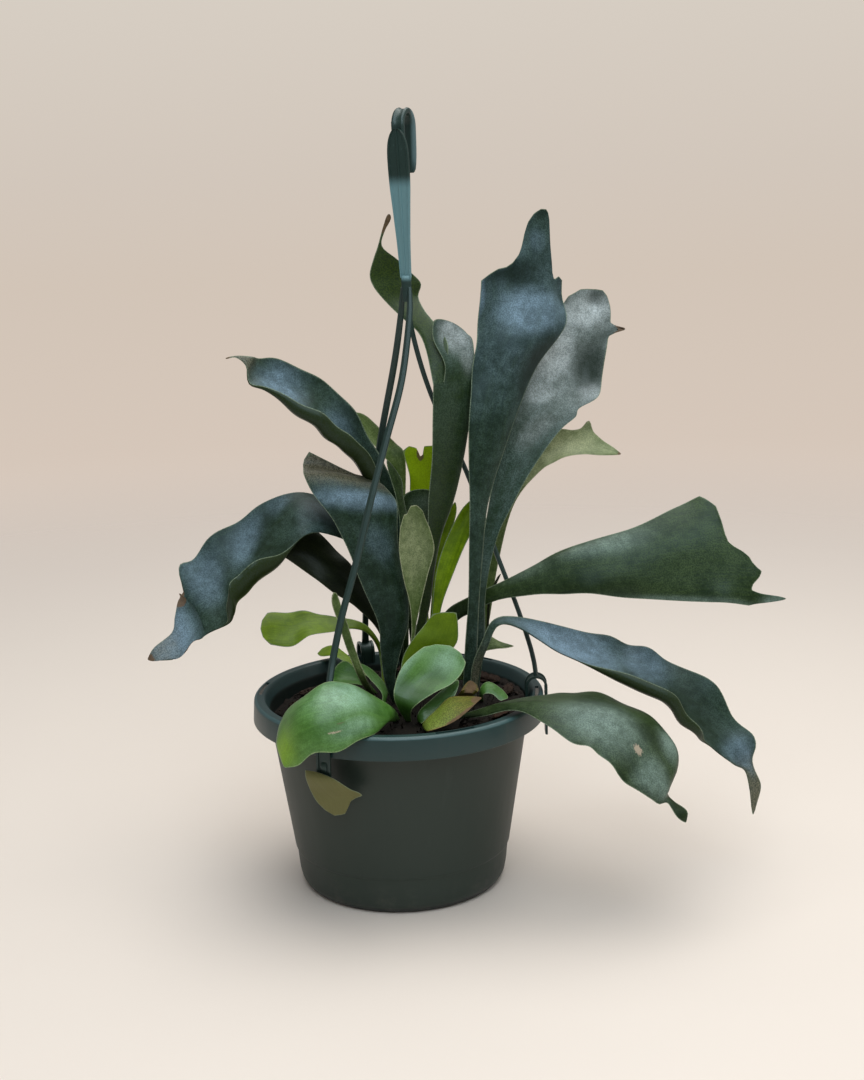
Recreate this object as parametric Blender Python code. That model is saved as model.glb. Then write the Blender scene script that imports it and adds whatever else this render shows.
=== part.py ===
"""Staghorn fern growing in a plastic hanging basket with a three-strand hanger.

Lengths are in millimetres and are scaled to metres where meshes are made.
The origin is the middle of the basket's base, +Z is up and -Y is the front.
A turn is an angle about +Z from the front towards the right, in degrees.
"""
import math

import bmesh
import bpy
import numpy as np
from mathutils import Vector

MM = 0.001
GAP = 0.3  # clearance between pieces that touch
UP = Vector((0, 0, 1))

# Basket
RIM_RADIUS = 101.6
RIM_HEIGHT = 137.5
SKIRT_FOOT = 121.5
SKIRT_RADIUS = 102.8
LAND_RADIUS = 95.0
WALL = 1.6
WALL_TOP_RADIUS = 91.1
WALL_FOOT_RADIUS = 76.8
STEP_HEIGHT = 28.0
FOOT_RADIUS = 67.5
FLOOR_UNDERSIDE = 2.2
FLOOR_TOP = 4.6
BASKET_SEGMENTS = 48

# Slots in the rim, drain holes and notches in the foot
SLOT_COUNT = 6
SLOT_TURN = -38.0
SLOT_RADIUS = 97.6
SLOT_WIDTH = 2.4
SLOT_LENGTH = 28.0
DRAIN_COUNT = 6
DRAIN_CIRCLE = 44.0
DRAIN_RADIUS = 4.5
NOTCH_COUNT = 4
NOTCH_TURN = 57.0

# Growing mix and the creeping stem that the fronds grow from
MIX_HEIGHT = 126.0
MIX_BANK = 5.0  # how far the mix stands above its middle at the right wall
MIX_LEVEL_RADIUS = 62.0
CROWN_TOP = 129.7
CROWN_MIDDLE = (17.0, 3.0)
CROWN_HALF = (50.0, 70.0)
SEAT = CROWN_TOP + GAP
CHIP_THICKNESS = 3.0

# Hanger
HOOK_TURN = 153.0  # the hook curls away from the front and to the right
HOOK_FOOT = (12.5, 0.0, 425.0)
HOOK_TOP = 537.0
HOOK_LEAN = 0.06
CURL_RADIUS = 10.3
STRAND_WIDTH = 4.8
STRAND_DEPTH = 3.3
CLIP_TURNS = {"front": -29.0, "right": 88.0, "back": 194.5}
CLIP_WIDTH = 10.6
CLIP_THICKNESS = 1.8
CLIP_TOP = 147.5
CLIP_INNER_RADIUS = 90.2
CLIP_OUTER_RADIUS = 104.0
CLIP_INNER_FOOT = 132.0
CLIP_OUTER_FOOT = 104.0

# Fronds
BLADE_THICKNESS = 1.2
STALK_THICKNESS = 2.8
SHOOT_THICKNESS = 2.0
STALK_SHARE = 0.35  # how far up a frond its stalk has thinned to the blade


def clear_scene():
    for obj in list(bpy.data.objects):
        bpy.data.objects.remove(obj, do_unlink=True)


def material(name, colour, roughness):
    made = bpy.data.materials.get(name)
    if made is None:
        made = bpy.data.materials.new(name)
        made.use_nodes = True
        shader = made.node_tree.nodes["Principled BSDF"]
        shader.inputs["Base Color"].default_value = (*colour, 1.0)
        shader.inputs["Roughness"].default_value = roughness
        shader.inputs["Metallic"].default_value = 0.0
    return made


def add_object(name, bm, finish):
    """Make an object of a bmesh that is in millimetres."""
    bmesh.ops.scale(bm, vec=(MM, MM, MM), verts=bm.verts)
    bmesh.ops.recalc_face_normals(bm, faces=bm.faces)
    mesh = bpy.data.meshes.new(name)
    bm.to_mesh(mesh)
    bm.free()
    mesh.materials.append(finish)
    mesh.shade_smooth()
    mesh.set_sharp_from_angle(angle=math.radians(40))
    obj = bpy.data.objects.new(name, mesh)
    bpy.context.collection.objects.link(obj)
    return obj


def boolean(target, other, operation):
    """Cut the target with another object, or join the two."""
    other.hide_render = True
    other.display_type = "WIRE"
    step = target.modifiers.new(operation.title(), "BOOLEAN")
    step.operation = operation
    step.solver = "EXACT"
    step.object = other


def around(radius, turn, height=0.0):
    """The point at a radius, a turn and a height."""
    angle = math.radians(turn)
    return Vector((radius * math.sin(angle), -radius * math.cos(angle), height))


def join_rings(bm, rings):
    """Faces between rings of corners. A ring of one corner closes to a point."""
    for low, high in zip(rings, rings[1:]):
        count = max(len(low), len(high))
        for k in range(count):
            corners = [low[k % len(low)], low[(k + 1) % len(low)],
                       high[(k + 1) % len(high)], high[k % len(high)]]
            bm.faces.new(list(dict.fromkeys(corners)))


def turned(bm, profile, segments, height_at=None):
    """Turn an outline of (radius, height) points, from axis to axis, about the Z axis."""
    rings = []
    for radius, height in profile:
        ring = []
        for k in range(segments if radius else 1):
            place = around(radius, 360.0 * k / segments, height)
            if height_at:
                place.z = height_at(place)
            ring.append(bm.verts.new(place))
        rings.append(ring)
    join_rings(bm, rings)


def add_box(bm, size, place, heading):
    """A box of the given size, turned about Z and then put in its place."""
    corners = bmesh.ops.create_cube(bm, size=1.0)["verts"]
    for vert in corners:
        x, y, z = (vert.co[k] * size[k] for k in range(3))
        vert.co = place - around(y, heading) + around(x, heading + 90) + UP * z
    return corners


def swept(bm, path, sections, outward):
    """Sweep (width, depth) rectangles along a path, each with its depth outward."""
    rings = []
    for k, point in enumerate(path):
        along = (path[min(k + 1, len(path) - 1)] - path[max(k - 1, 0)]).normalized()
        out = (outward[k] - along * outward[k].dot(along)).normalized()
        across = along.cross(out)
        width, depth = sections[k]
        corners = [(-1, -1), (1, -1), (1, 1), (-1, 1)]
        ring = [bm.verts.new(point + across * a * width / 2 + out * b * depth / 2) for a, b in corners]
        rings.append(ring)
    join_rings(bm, rings)
    bm.faces.new(rings[0][::-1])
    bm.faces.new(rings[-1])


def curve_at(rows, t):
    """A smooth curve through the rows, read at t rows from the first."""
    last = len(rows) - 1
    k = int(min(max(math.floor(t), 0), last - 1))
    f = t - k
    before, start, end, after = (rows[min(max(k + j, 0), last)] for j in (-1, 0, 1, 2))
    return 0.5 * (2 * start + (end - before) * f
                  + (2 * before - 5 * start + 4 * end - after) * f ** 2
                  + (3 * start - before - 3 * end + after) * f ** 3)


# --- Basket -------------------------------------------------------------------------------

def wall_radius(height):
    """Outer radius of the straight wall above the step."""
    share = (height - STEP_HEIGHT) / (SKIRT_FOOT - STEP_HEIGHT)
    return WALL_FOOT_RADIUS + (WALL_TOP_RADIUS - WALL_FOOT_RADIUS) * share


def make_basket():
    """One moulding: floor with a centre pad, foot ring, tapered wall, rim land and skirt."""
    outside = [
        (0, 0), (24, 0), (26, FLOOR_UNDERSIDE), (57, FLOOR_UNDERSIDE), (59, 0), (FOOT_RADIUS, 0),
        (FOOT_RADIUS + 3.0, 1.8), (FOOT_RADIUS + 5.6, 6.0), (FOOT_RADIUS + 6.9, 13.0),
        (WALL_FOOT_RADIUS - 1.1, STEP_HEIGHT - 1.5), (WALL_FOOT_RADIUS, STEP_HEIGHT),
        (wall_radius(75), 75), (WALL_TOP_RADIUS, SKIRT_FOOT), (wall_radius(130), 130),
        (LAND_RADIUS + 0.9, RIM_HEIGHT - WALL),
    ]
    skirt = [
        (RIM_RADIUS - WALL, RIM_HEIGHT - WALL), (SKIRT_RADIUS - WALL, SKIRT_FOOT),
        (SKIRT_RADIUS, SKIRT_FOOT), (RIM_RADIUS + 0.2, RIM_HEIGHT - 1.2),
        (RIM_RADIUS - 1.0, RIM_HEIGHT), (LAND_RADIUS, RIM_HEIGHT),
    ]
    inside = [
        (LAND_RADIUS - 1.2, RIM_HEIGHT - 1.6), (wall_radius(129) - WALL, 129),
        (wall_radius(75) - WALL, 75), (WALL_FOOT_RADIUS - WALL, STEP_HEIGHT),
        (FOOT_RADIUS + 5.2, 13.0), (FOOT_RADIUS + 1.5, 6.0), (FOOT_RADIUS - 3, FLOOR_TOP),
        (0, FLOOR_TOP),
    ]
    finish = material("basket_green", (0.020, 0.050, 0.042), 0.42)
    bm = bmesh.new()
    turned(bm, outside + skirt + inside, BASKET_SEGMENTS)
    basket = add_object("basket", bm, finish)

    bm = bmesh.new()
    half = math.degrees(SLOT_LENGTH / 2 / SLOT_RADIUS)
    for k in range(SLOT_COUNT):
        turn = SLOT_TURN + 360.0 * k / SLOT_COUNT
        path = [around(SLOT_RADIUS, turn + half * share, RIM_HEIGHT) for share in (-1, 0, 1)]
        swept(bm, path, [(8.0, SLOT_WIDTH)] * 3, [around(1, turn)] * 3)
    for k in range(DRAIN_COUNT):
        place = around(DRAIN_CIRCLE, 360.0 * k / DRAIN_COUNT, FLOOR_TOP / 2)
        hole = bmesh.ops.create_cone(bm, cap_ends=True, segments=10, radius1=DRAIN_RADIUS,
                                     radius2=DRAIN_RADIUS, depth=2 * FLOOR_TOP)
        bmesh.ops.translate(bm, vec=place, verts=hole["verts"])
    for k in range(NOTCH_COUNT):
        turn = NOTCH_TURN + 360.0 * k / NOTCH_COUNT
        add_box(bm, (9.0, 16.0, 2.6), around(FOOT_RADIUS - 2.5, turn), turn)
    boolean(basket, add_object("basket_openings", bm, finish), "DIFFERENCE")


# --- Growing mix, creeping stem and bark chips ----------------------------------------------

def mix_top(place):
    """Height of the mix: level in the middle, banked up to the right and low on the left."""
    radius = math.hypot(place.x, place.y)
    share = max(0.0, radius - MIX_LEVEL_RADIUS) / (WALL_TOP_RADIUS - MIX_LEVEL_RADIUS)
    return MIX_HEIGHT + MIX_BANK * share * place.x / max(radius, 1.0)


def make_mix():
    """Moss and bark mix, clear of the basket's wall and floor."""
    side = WALL + GAP + 0.3
    profile = [
        (0, FLOOR_TOP + GAP), (FOOT_RADIUS - 4, FLOOR_TOP + GAP), (FOOT_RADIUS + 0.7, 6.8),
        (FOOT_RADIUS + 4.5, 13.4), (WALL_FOOT_RADIUS - side, STEP_HEIGHT),
        (wall_radius(75) - side, 75), (wall_radius(118) - side, 118),
        (wall_radius(122) - side, MIX_HEIGHT), (76, MIX_HEIGHT), (MIX_LEVEL_RADIUS, MIX_HEIGHT),
        (0, MIX_HEIGHT),
    ]

    def banked(place):
        return mix_top(place) if place.z == MIX_HEIGHT else place.z

    bm = bmesh.new()
    turned(bm, profile, BASKET_SEGMENTS, banked)
    add_object("growing_mix", bm, material("mix_brown", (0.030, 0.018, 0.012), 0.95))


def make_crown():
    """The creeping stem under the fronds: a low, level-topped mound of overlapping lobes."""
    segments = 32
    bm = bmesh.new()
    rings = []
    for share, height in ((0, 0), (0.97, 0), (1, CROWN_TOP - 1), (0.95, CROWN_TOP), (0, CROWN_TOP)):
        ring = []
        for k in range(segments if share else 1):
            angle = 2 * math.pi * k / segments
            reach = share * (1 + 0.05 * math.sin(3 * angle + 0.7))
            place = Vector((CROWN_MIDDLE[0] + CROWN_HALF[0] * reach * math.cos(angle),
                            CROWN_MIDDLE[1] + CROWN_HALF[1] * reach * math.sin(angle), height))
            if not height:
                place.z = mix_top(place) + GAP
            ring.append(bm.verts.new(place))
        rings.append(ring)
    join_rings(bm, rings)
    add_object("rhizome", bm, material("rhizome_brown", (0.045, 0.028, 0.016), 0.9))


def make_bark():
    """Bark chips that lie on the mix, each with its underside following the ground."""
    chips = [  # radius, turn, length, width, skew from lying along the wall
        (80, 125, 24, 8, 8), (80, 101, 17, 7, -12), (81, 150, 18, 6, 5), (80, 60, 15, 6, -15),
        (80, 10, 14, 6, 12), (80, -16, 14, 6, -8), (77, -62, 22, 9, -10), (74, -97, 18, 8, 20),
        (78, -122, 15, 7, -20), (82, 176, 14, 6, 5),
    ]
    finish = material("bark_brown", (0.10, 0.05, 0.03), 0.85)
    for k, (radius, turn, length, width, skew) in enumerate(chips):
        middle = around(radius, turn)
        bm = bmesh.new()
        for vert in add_box(bm, (length, width, 1.0), middle, turn + skew):
            top = vert.co.z > 0
            vert.co.z = mix_top(vert.co) + GAP
            if top:
                vert.co = vert.co.lerp(Vector((middle.x, middle.y, vert.co.z)), 0.15)
                vert.co.z += CHIP_THICKNESS
        bmesh.ops.triangulate(bm, faces=bm.faces)
        add_object(f"bark_chip_{k + 1}", bm, finish)


# --- Hanger -------------------------------------------------------------------------------

def hook_point(back, height):
    """A point in the hook's middle plane, which leans forward as it rises."""
    return Vector((HOOK_FOOT[0], HOOK_FOOT[1], height)) + around(back, HOOK_TURN)


def make_hook():
    """Front plate with a round top, the curl that hangs over a rod, and the neck block."""
    finish = material("hanger_green", (0.045, 0.115, 0.105), 0.38)
    back = around(1, HOOK_TURN)
    plate_top = 523.0

    def leaning(distance, height):
        lean = HOOK_LEAN * (min(height, plate_top) - HOOK_FOOT[2])
        return hook_point(distance - lean, height)

    plate = [(426, 7.4), (450, 9.6), (475, 13.2), (492, 15.4), (506, 15.4), (514, 13.2), (520, 9.0),
             (plate_top, 3.6)]
    bm = bmesh.new()
    swept(bm, [leaning(0, height) for height, _ in plate], [(width, 2.2) for _, width in plate],
          [-back] * len(plate))
    hook = add_object("hanger_hook", bm, finish)

    middle, rise = 13.5, HOOK_TOP - CURL_RADIUS - 2.2
    path = [leaning(2.2, 432), leaning(2.6, 462), leaning(middle - CURL_RADIUS, 500)]
    sections = [(3.0, 2.6), (6.0, 3.8), (8.4, 4.4)]
    outward = [-back] * 3
    for k in range(9):
        angle = math.pi * k / 8
        path.append(leaning(middle - CURL_RADIUS * math.cos(angle), rise + CURL_RADIUS * math.sin(angle)))
        sections.append((9.0, 4.4))
        outward.append(UP * math.sin(angle) - back * math.cos(angle))
    path += [leaning(middle + CURL_RADIUS - 0.8, 504), leaning(middle + CURL_RADIUS - 1.4, 492)]
    sections += [(7.6, 4.0), (4.4, 2.4)]
    outward += [back] * 2
    bm = bmesh.new()
    swept(bm, path, sections, outward)
    boolean(hook, add_object("hook_curl", bm, finish), "UNION")

    bm = bmesh.new()
    add_box(bm, (9.6, 8.4, 9.0), Vector((12.6, 0.3, HOOK_FOOT[2] - 0.2)), 0)
    boolean(hook, add_object("hook_neck", bm, finish), "UNION")


def make_strand(side, route):
    """One flat strand from the neck, with the clip at its foot that straddles the rim."""
    finish = material("hanger_green", (0.045, 0.115, 0.105), 0.38)
    turn = CLIP_TURNS[side]
    facing = around(1, turn)
    crest = (CLIP_INNER_RADIUS + CLIP_OUTER_RADIUS) / 2
    half = (CLIP_OUTER_RADIUS - CLIP_INNER_RADIUS) / 2
    points = np.array(route + [tuple(around(crest, turn, CLIP_TOP - 0.7))], float)
    steps = 2 * (len(points) - 1)
    path = [Vector(curve_at(points, k / 2)) for k in range(steps + 1)]
    full = [min(1.0, 0.7 + 0.1 * k) for k in range(steps + 1)]
    bm = bmesh.new()
    swept(bm, path, [(STRAND_WIDTH * s, STRAND_DEPTH * s) for s in full], [facing] * len(path))
    strand = add_object("hanger_strand_" + side, bm, finish)

    spring = CLIP_TOP - CLIP_THICKNESS / 2 - half
    path = [around(CLIP_INNER_RADIUS, turn, CLIP_INNER_FOOT)]
    outward = [-facing]
    for k in range(9):
        angle = math.pi * k / 8
        path.append(around(crest - half * math.cos(angle), turn, spring + half * math.sin(angle)))
        outward.append(UP * math.sin(angle) - facing * math.cos(angle))
    path.append(around(CLIP_OUTER_RADIUS, turn, CLIP_OUTER_FOOT))
    outward.append(facing)
    bm = bmesh.new()
    swept(bm, path, [(CLIP_WIDTH, CLIP_THICKNESS)] * len(path), outward)
    boolean(strand, add_object("clip_" + side, bm, finish), "UNION")


def make_strands():
    make_strand("front", [
        (14.6, -1.8, 419.7), (13.8, -8, 400), (7.6, -20, 360), (-4, -32, 321), (-15.5, -43.5, 282),
        (-27, -55, 240), (-36.5, -63.5, 209), (-43, -71, 182), (-46, -79, 164),
    ])
    make_strand("right", [
        (14.4, 2.2, 419.7), (15.6, 7, 391), (28, 13, 345), (51.5, 15, 290), (71, 12.5, 233),
        (84, 7, 197), (92, 1.5, 172), (95.5, -2, 158),
    ])
    make_strand("back", [
        (10.2, 0.8, 419.7), (8, 9, 398), (3, 20.5, 366), (-9, 42.5, 305), (-18, 66, 240),
        (-22.5, 82, 184), (-24, 90, 160),
    ])


# --- Fronds -------------------------------------------------------------------------------

def evenly(count):
    return [-1 + 2 * k / (count - 1) for k in range(count)]


def blade_points(rows, across, tip):
    """Points of a blade, row by row from its root, whose margins run through the rows.

    A row holds its left margin point, its right margin point, and how far the blade bows
    towards its upper face between them. The tip says how many rows short of the last one
    the blade ends, at places from -1 on the left margin to 1 on the right.
    """
    rows = np.array(rows, float)
    last = len(rows) - 1
    places, shortfalls = zip(*tip) if tip else ((-1, 1), (0, 0))
    grid = []
    for k in range(last + 1):
        line = []
        for v in across:
            t = k - np.interp(v, places, shortfalls) * max(0.0, (k - last + 3) / 3) ** 1.2
            here, ahead, behind = (curve_at(rows, min(max(t + d, 0), last)) for d in (0, 0.1, -0.1))
            left, right = Vector(here[:3]), Vector(here[3:6])
            along = Vector(ahead[:3] + ahead[3:6] - behind[:3] - behind[3:6])
            upper = (right - left).cross(along).normalized()
            line.append((left + right) / 2 + (right - left) * v / 2 + upper * here[6] * (1 - v * v))
        grid.append(line)
    return grid


def add_blade(sheet, thickness, grid, root, tip):
    """Faces of a blade, with its thickness running from the root's to the tip's."""
    lines = []
    for k, line in enumerate(grid):
        share = min(1.0, k / (len(grid) - 1) / STALK_SHARE)
        verts = [sheet.verts.new(point) for point in line]
        for vert in verts:
            vert[thickness] = root + (tip - root) * share
        lines.append(verts)
    for low, high in zip(lines, lines[1:]):
        for k in range(len(low) - 1):
            sheet.faces.new((low[k], low[k + 1], high[k + 1], high[k]))
    return lines


def thickened(sheet, thickness, seated):
    """A closed blade: the sheet with half its thickness on each side, level at its seat."""
    solid = bmesh.new()
    upper, lower = {}, {}
    for vert in sheet.verts:
        offset = vert.normal * vert[thickness] / 2
        upper[vert] = solid.verts.new(vert.co + offset)
        lower[vert] = solid.verts.new(vert.co - offset)
        if seated and abs(vert.co.z - SEAT) < 0.01:
            upper[vert].co.z = SEAT
            lower[vert].co.z = SEAT
    for face in sheet.faces:
        solid.faces.new([upper[vert] for vert in face.verts])
        solid.faces.new([lower[vert] for vert in reversed(face.verts)])
    for edge in sheet.edges:
        if edge.is_boundary:
            loop = edge.link_loops[0]
            a, b = loop.vert, loop.link_loop_next.vert
            solid.faces.new((upper[b], upper[a], lower[a], lower[b]))
    return solid


def leaf(name, finish, rows, tip=None, columns=5, stalk=STALK_THICKNESS, seated=True,
         fork=None, left_arm=(), right_arm=()):
    """One frond. At a fork the last row divides, at that share of its width, into two arms."""
    sheet = bmesh.new()
    thickness = sheet.verts.layers.float.new("thickness")
    if fork is None:
        across = [place for place, _ in tip] if tip else evenly(columns)
        add_blade(sheet, thickness, blade_points(rows, across, tip), stalk, BLADE_THICKNESS)
    else:
        left, right = Vector(rows[-1][:3]), Vector(rows[-1][3:6])
        split = left.lerp(right, fork)
        parting = 2 * fork - 1
        across = [-1, (parting - 1) / 2] + [parting + (1 - parting) * k / 3 for k in range(4)]
        add_blade(sheet, thickness, blade_points(rows, across, None), stalk, BLADE_THICKNESS)
        for arm, count, a, b in ((left_arm, 3, left, split), (right_arm, 4, split, right)):
            grid = blade_points([(*a, *b, 0)] + list(arm), evenly(count), None)
            add_blade(sheet, thickness, grid, BLADE_THICKNESS, BLADE_THICKNESS)
        bmesh.ops.remove_doubles(sheet, verts=sheet.verts, dist=0.01)
    bmesh.ops.triangulate(sheet, faces=sheet.faces)
    sheet.normal_update()
    add_object(name, thickened(sheet, thickness, seated), finish)
    sheet.free()


def make_fronds():
    blue = material("frond_blue_green", (0.050, 0.090, 0.085), 0.45)
    silver = material("frond_silvery", (0.160, 0.210, 0.200), 0.50)
    green = material("frond_green", (0.035, 0.085, 0.045), 0.45)
    sage = material("frond_sage", (0.200, 0.280, 0.150), 0.50)
    olive = material("frond_olive", (0.060, 0.085, 0.030), 0.50)
    lime = material("frond_lime", (0.150, 0.270, 0.030), 0.45)
    fresh = material("frond_fresh_green", (0.120, 0.270, 0.090), 0.45)
    yellow = material("shield_yellow_green", (0.230, 0.280, 0.060), 0.55)
    dead = material("frond_dead_olive", (0.160, 0.170, 0.060), 0.75)
    leaf("frond_upright_front", blue, [
        (45, 0, 130,  54, 1, 130,  0),
        (47, -5, 167,  56, -3, 166,  0),
        (50, -7, 204,  58, -4, 203,  0),
        (51, -8, 238,  61, -4, 237,  1),
        (52, -9, 271,  65, -3, 270,  1),
        (52, -8, 303,  75, 1, 302,  3),
        (53, -4, 335,  87, 8, 332,  5),
        (57, 5, 366,  102, 17, 363,  7),
        (62, 14, 394,  122, 25, 390,  8),
        (64, 20, 415,  121, 28, 413,  6),
        (65, 24, 442,  120, 29, 441,  4),
        (66, 24, 470,  120, 26, 469,  2),
    ], tip=[(-1, 1.75), (-0.3, 1.4), (0, 0.9), (0.15, 0.3), (0.55, 0), (0.72, 0.15), (0.76, 1.65),
            (1, 1.8)])
    leaf("frond_upright_behind", silver, [
        (50, 12, 130,  57, 14, 130,  0),
        (54, 7, 171,  62, 8, 170,  0),
        (56, 2, 201,  63, 3, 207,  0),
        (59, 2, 230,  71, 3, 244,  -1),
        (64, 5, 258,  82, 7, 266,  -2),
        (70, 10, 286,  97, 13, 291,  -3),
        (79, 16, 315,  119, 21, 318,  -5),
        (93, 25, 344,  145, 31, 336,  -6),
        (105, 34, 370,  152, 41, 366,  -6),
        (117, 41, 393,  157, 48, 392,  -5),
        (128, 46, 408,  154, 51, 407,  -3),
    ])
    leaf("frond_pale_behind", sage, [
        (44, 45, 130,  50, 47, 130,  0),
        (67, 52, 165,  73, 52, 165,  0),
        (74, 58, 209,  83, 58, 212,  0),
        (86, 64, 252,  95, 62, 255,  -1),
        (102, 70, 286,  109, 62, 280,  -3),
        (123, 76, 308,  122, 60, 290,  -4),
        (141, 76, 309,  137, 58, 293,  -3),
        (155, 74, 300,  150, 60, 292,  -1),
        (166, 68, 292,  165, 66, 290,  0),
    ])
    leaf("frond_right", green, [
        (22, 46, 130,  28, 43, 130,  0),
        (26, 30, 165,  33, 26, 163,  0),
        (35, 26, 187,  42, 21, 180,  0),
        (52, 17, 200,  55, 13, 190,  1),
        (80, 4, 216,  76, -3, 203,  2),
        (124, 4, 237,  119, -14, 208,  5),
        (167, 8, 248,  163, -18, 205,  8),
        (198, 12, 262,  196, -20, 202,  9),
        (220, 14, 270,  224, -22, 200,  8),
        (247, 14, 271,  249, -24, 198,  6),
        (268, 14, 270,  269, -24, 197,  5),
    ], tip=[(-1, 2.3), (-0.6, 1.6), (-0.1, 0.75), (0.2, 0.85), (0.6, 0.8), (0.75, 0), (0.9, 1.2), (1, 1.5)])
    leaf("frond_arching_right", blue, [
        (50, -15, 130,  54, -13, 130,  0),
        (51, -17, 157,  57, -16, 156,  0),
        (58, -18, 176,  63, -19, 174,  0),
        (67, -14, 191,  70, -19, 188,  -1),
        (84, -8, 191,  84, -19, 186,  -2),
        (116, 0, 181,  113, -29, 171,  -4),
        (151, 6, 170,  144, -44, 162,  -6),
        (183, 6, 158,  169, -52, 156,  -8),
        (204, 2, 146,  186, -54, 144,  -8),
        (223, -6, 136,  200, -52, 128,  -7),
        (235, -14, 116,  211, -46, 114,  -5),
        (248, -22, 104,  218, -42, 99,  -3),
        (246, -28, 90,  231, -38, 88,  -1),
        (247, -32, 83,  239, -36, 83,  0),
        (251, -34, 71,  242, -38, 72,  0),
        (248, -36, 57,  244, -38, 57,  0),
        (246, -37, 51,  245, -38, 51,  0),
    ])
    leaf("frond_over_rim_right", green, [
        (40, -38, 130,  45, -45, 130,  0),
        (55, -48, 138,  58, -58, 136,  0),
        (68, -50, 142,  73, -66, 142,  1),
        (86, -48, 145,  84, -76, 143,  2),
        (104, -46, 146,  97, -92, 139,  4),
        (127, -46, 147,  115, -104, 130,  6),
        (151, -50, 141,  129, -110, 126,  7),
        (170, -60, 134,  140, -112, 111,  7),
        (181, -72, 118,  152, -112, 103,  5),
        (183, -84, 104,  163, -110, 94,  3),
        (176, -94, 93,  168, -108, 89,  1),
        (179, -98, 87,  174, -104, 88,  0),
        (187, -102, 81,  179, -108, 80,  0),
        (187, -104, 75,  185, -106, 74,  0),
    ])
    leaf("frond_upper_left", blue, [
        (2, 54, 130,  8, 56, 130,  0),
        (0, 34, 187,  6, 36, 188,  0),
        (-6, 30, 233,  5, 35, 238,  -2),
        (-14, 21, 274,  2, 34, 275,  -5),
        (-24, 8, 305,  -9, 32, 301,  -8),
        (-36, 0, 326,  -26, 32, 333,  -9),
        (-49, -6, 343,  -44, 32, 353,  -10),
        (-66, -9, 353,  -62, 28, 363,  -9),
        (-84, -8, 357,  -78, 22, 371,  -6),
        (-95, -4, 358,  -89, 14, 373,  -2),
        (-97, 2, 369,  -93, 8, 375,  0),
        (-104, 4, 375,  -103, 6, 376,  0),
        (-111, 4, 374,  -111, 5, 375,  0),
    ])
    leaf("frond_big_left", blue, [
        (4, 44, 130,  10, 46, 130,  0),
        (-4, 26, 175,  4, 27, 176,  0),
        (-13, 20, 213,  -4, 26, 217,  0),
        (-27, 8, 240,  -14, 27, 244,  2),
        (-48, -8, 254,  -37, 28, 264,  3),
        (-62, -18, 254,  -57, 26, 275,  2),
        (-78, -26, 242,  -75, 22, 276,  -2),
        (-96, -34, 237,  -93, 16, 270,  -6),
        (-106, -40, 229,  -112, 8, 259,  -9),
        (-110, -44, 218,  -130, 0, 249,  -9),
        (-114, -46, 203,  -141, -8, 236,  -6),
        (-128, -46, 196,  -151, -16, 222,  -3),
        (-132, -46, 191,  -146, -22, 213,  -2),
        (-140, -46, 185,  -151, -28, 203,  -1),
        (-147, -46, 180,  -153, -34, 194,  0),
        (-158, -46, 178,  -164, -40, 186,  0),
        (-168, -44, 177,  -169, -42, 179,  0),
    ])
    leaf("frond_left_behind", olive, [
        (-7, 43, 130,  0, 45, 130,  0),
        (-12, 14, 174,  -6, 20, 182,  0),
        (-28, 12, 195,  -21, 24, 210,  2),
        (-50, 10, 212,  -34, 26, 226,  3),
        (-67, 12, 226,  -46, 28, 239,  3),
        (-83, 14, 237,  -62, 28, 254,  2),
        (-93, 18, 246,  -76, 26, 260,  1),
    ])
    leaf("frond_rolled_top", blue, [
        (-5, -3, 130,  3, -6, 130,  0),
        (-10, -12, 149,  -2, -12, 149,  0),
        (-12, -14, 172,  2, -12, 169,  1),
        (-13, -16, 191,  8, -10, 189,  3),
        (-22, -18, 216,  8, -8, 208,  4),
        (-31, -18, 241,  4, -6, 233,  5),
        (-40, -18, 263,  2, -4, 258,  5),
        (-54, -14, 282,  2, -2, 274,  5),
        (-60, -8, 295,  -5, 2, 283,  4),
        (-61, 0, 299,  -12, 7, 286,  1),
        (-61, 4, 303,  -14, 8, 288,  -1),
        (-57, 5, 309,  -17, 9, 287,  -1),
    ])
    leaf("frond_forked", green, [
        (8, 33, 130,  16, 35, 130,  0),
        (11, 12, 167,  18, 14, 168,  0),
        (17, 8, 197,  24, 12, 197,  0),
        (20, 4, 223,  28, 10, 223,  0),
        (23, 1, 249,  33, 8, 247,  0),
        (24, -2, 274,  42, 7, 272,  1),
        (27, -5, 303,  49, 6, 300,  1),
        (28, -6, 330,  54, 6, 328,  1),
        (29, -6, 354,  57, 6, 352,  0),
    ], fork=0.24, left_arm=[
        (24, 3, 376,  31, 8, 375,  0),
        (19, 12, 388,  29, 16, 392,  0),
        (9, 19, 398,  23, 24, 402,  0),
        (-1, 22, 408,  21, 30, 411,  -1),
        (-9, 22, 418,  23, 30, 420,  -2),
        (-12, 22, 427,  16, 30, 428,  -2),
        (-9, 22, 438,  7, 28, 437,  -1),
        (-6, 22, 446,  -2, 24, 446,  0),
        (-3, 22, 456,  -2, 22, 456,  0),
        (-2, 22, 465,  0, 22, 465,  0),
    ], right_arm=[
        (37, -4, 368,  58, 8, 367,  -2),
        (30, -1, 384,  57, 10, 382,  -4),
        (30, 2, 395,  53, 11, 387,  -3),
        (33, 4, 399,  47, 11, 394,  -1),
    ])
    leaf("frond_backlit", lime, [
        (20, 63, 130,  26, 62, 130,  0),
        (16, 58, 188,  23, 58, 188,  0),
        (13, 54, 234,  23, 56, 233,  0),
        (12, 52, 264,  28, 54, 263,  0),
        (12, 50, 281,  33, 54, 279,  -1),
        (9, 50, 295,  34, 54, 296,  -1),
        (7, 50, 304,  34, 54, 304,  -1),
    ])
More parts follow.
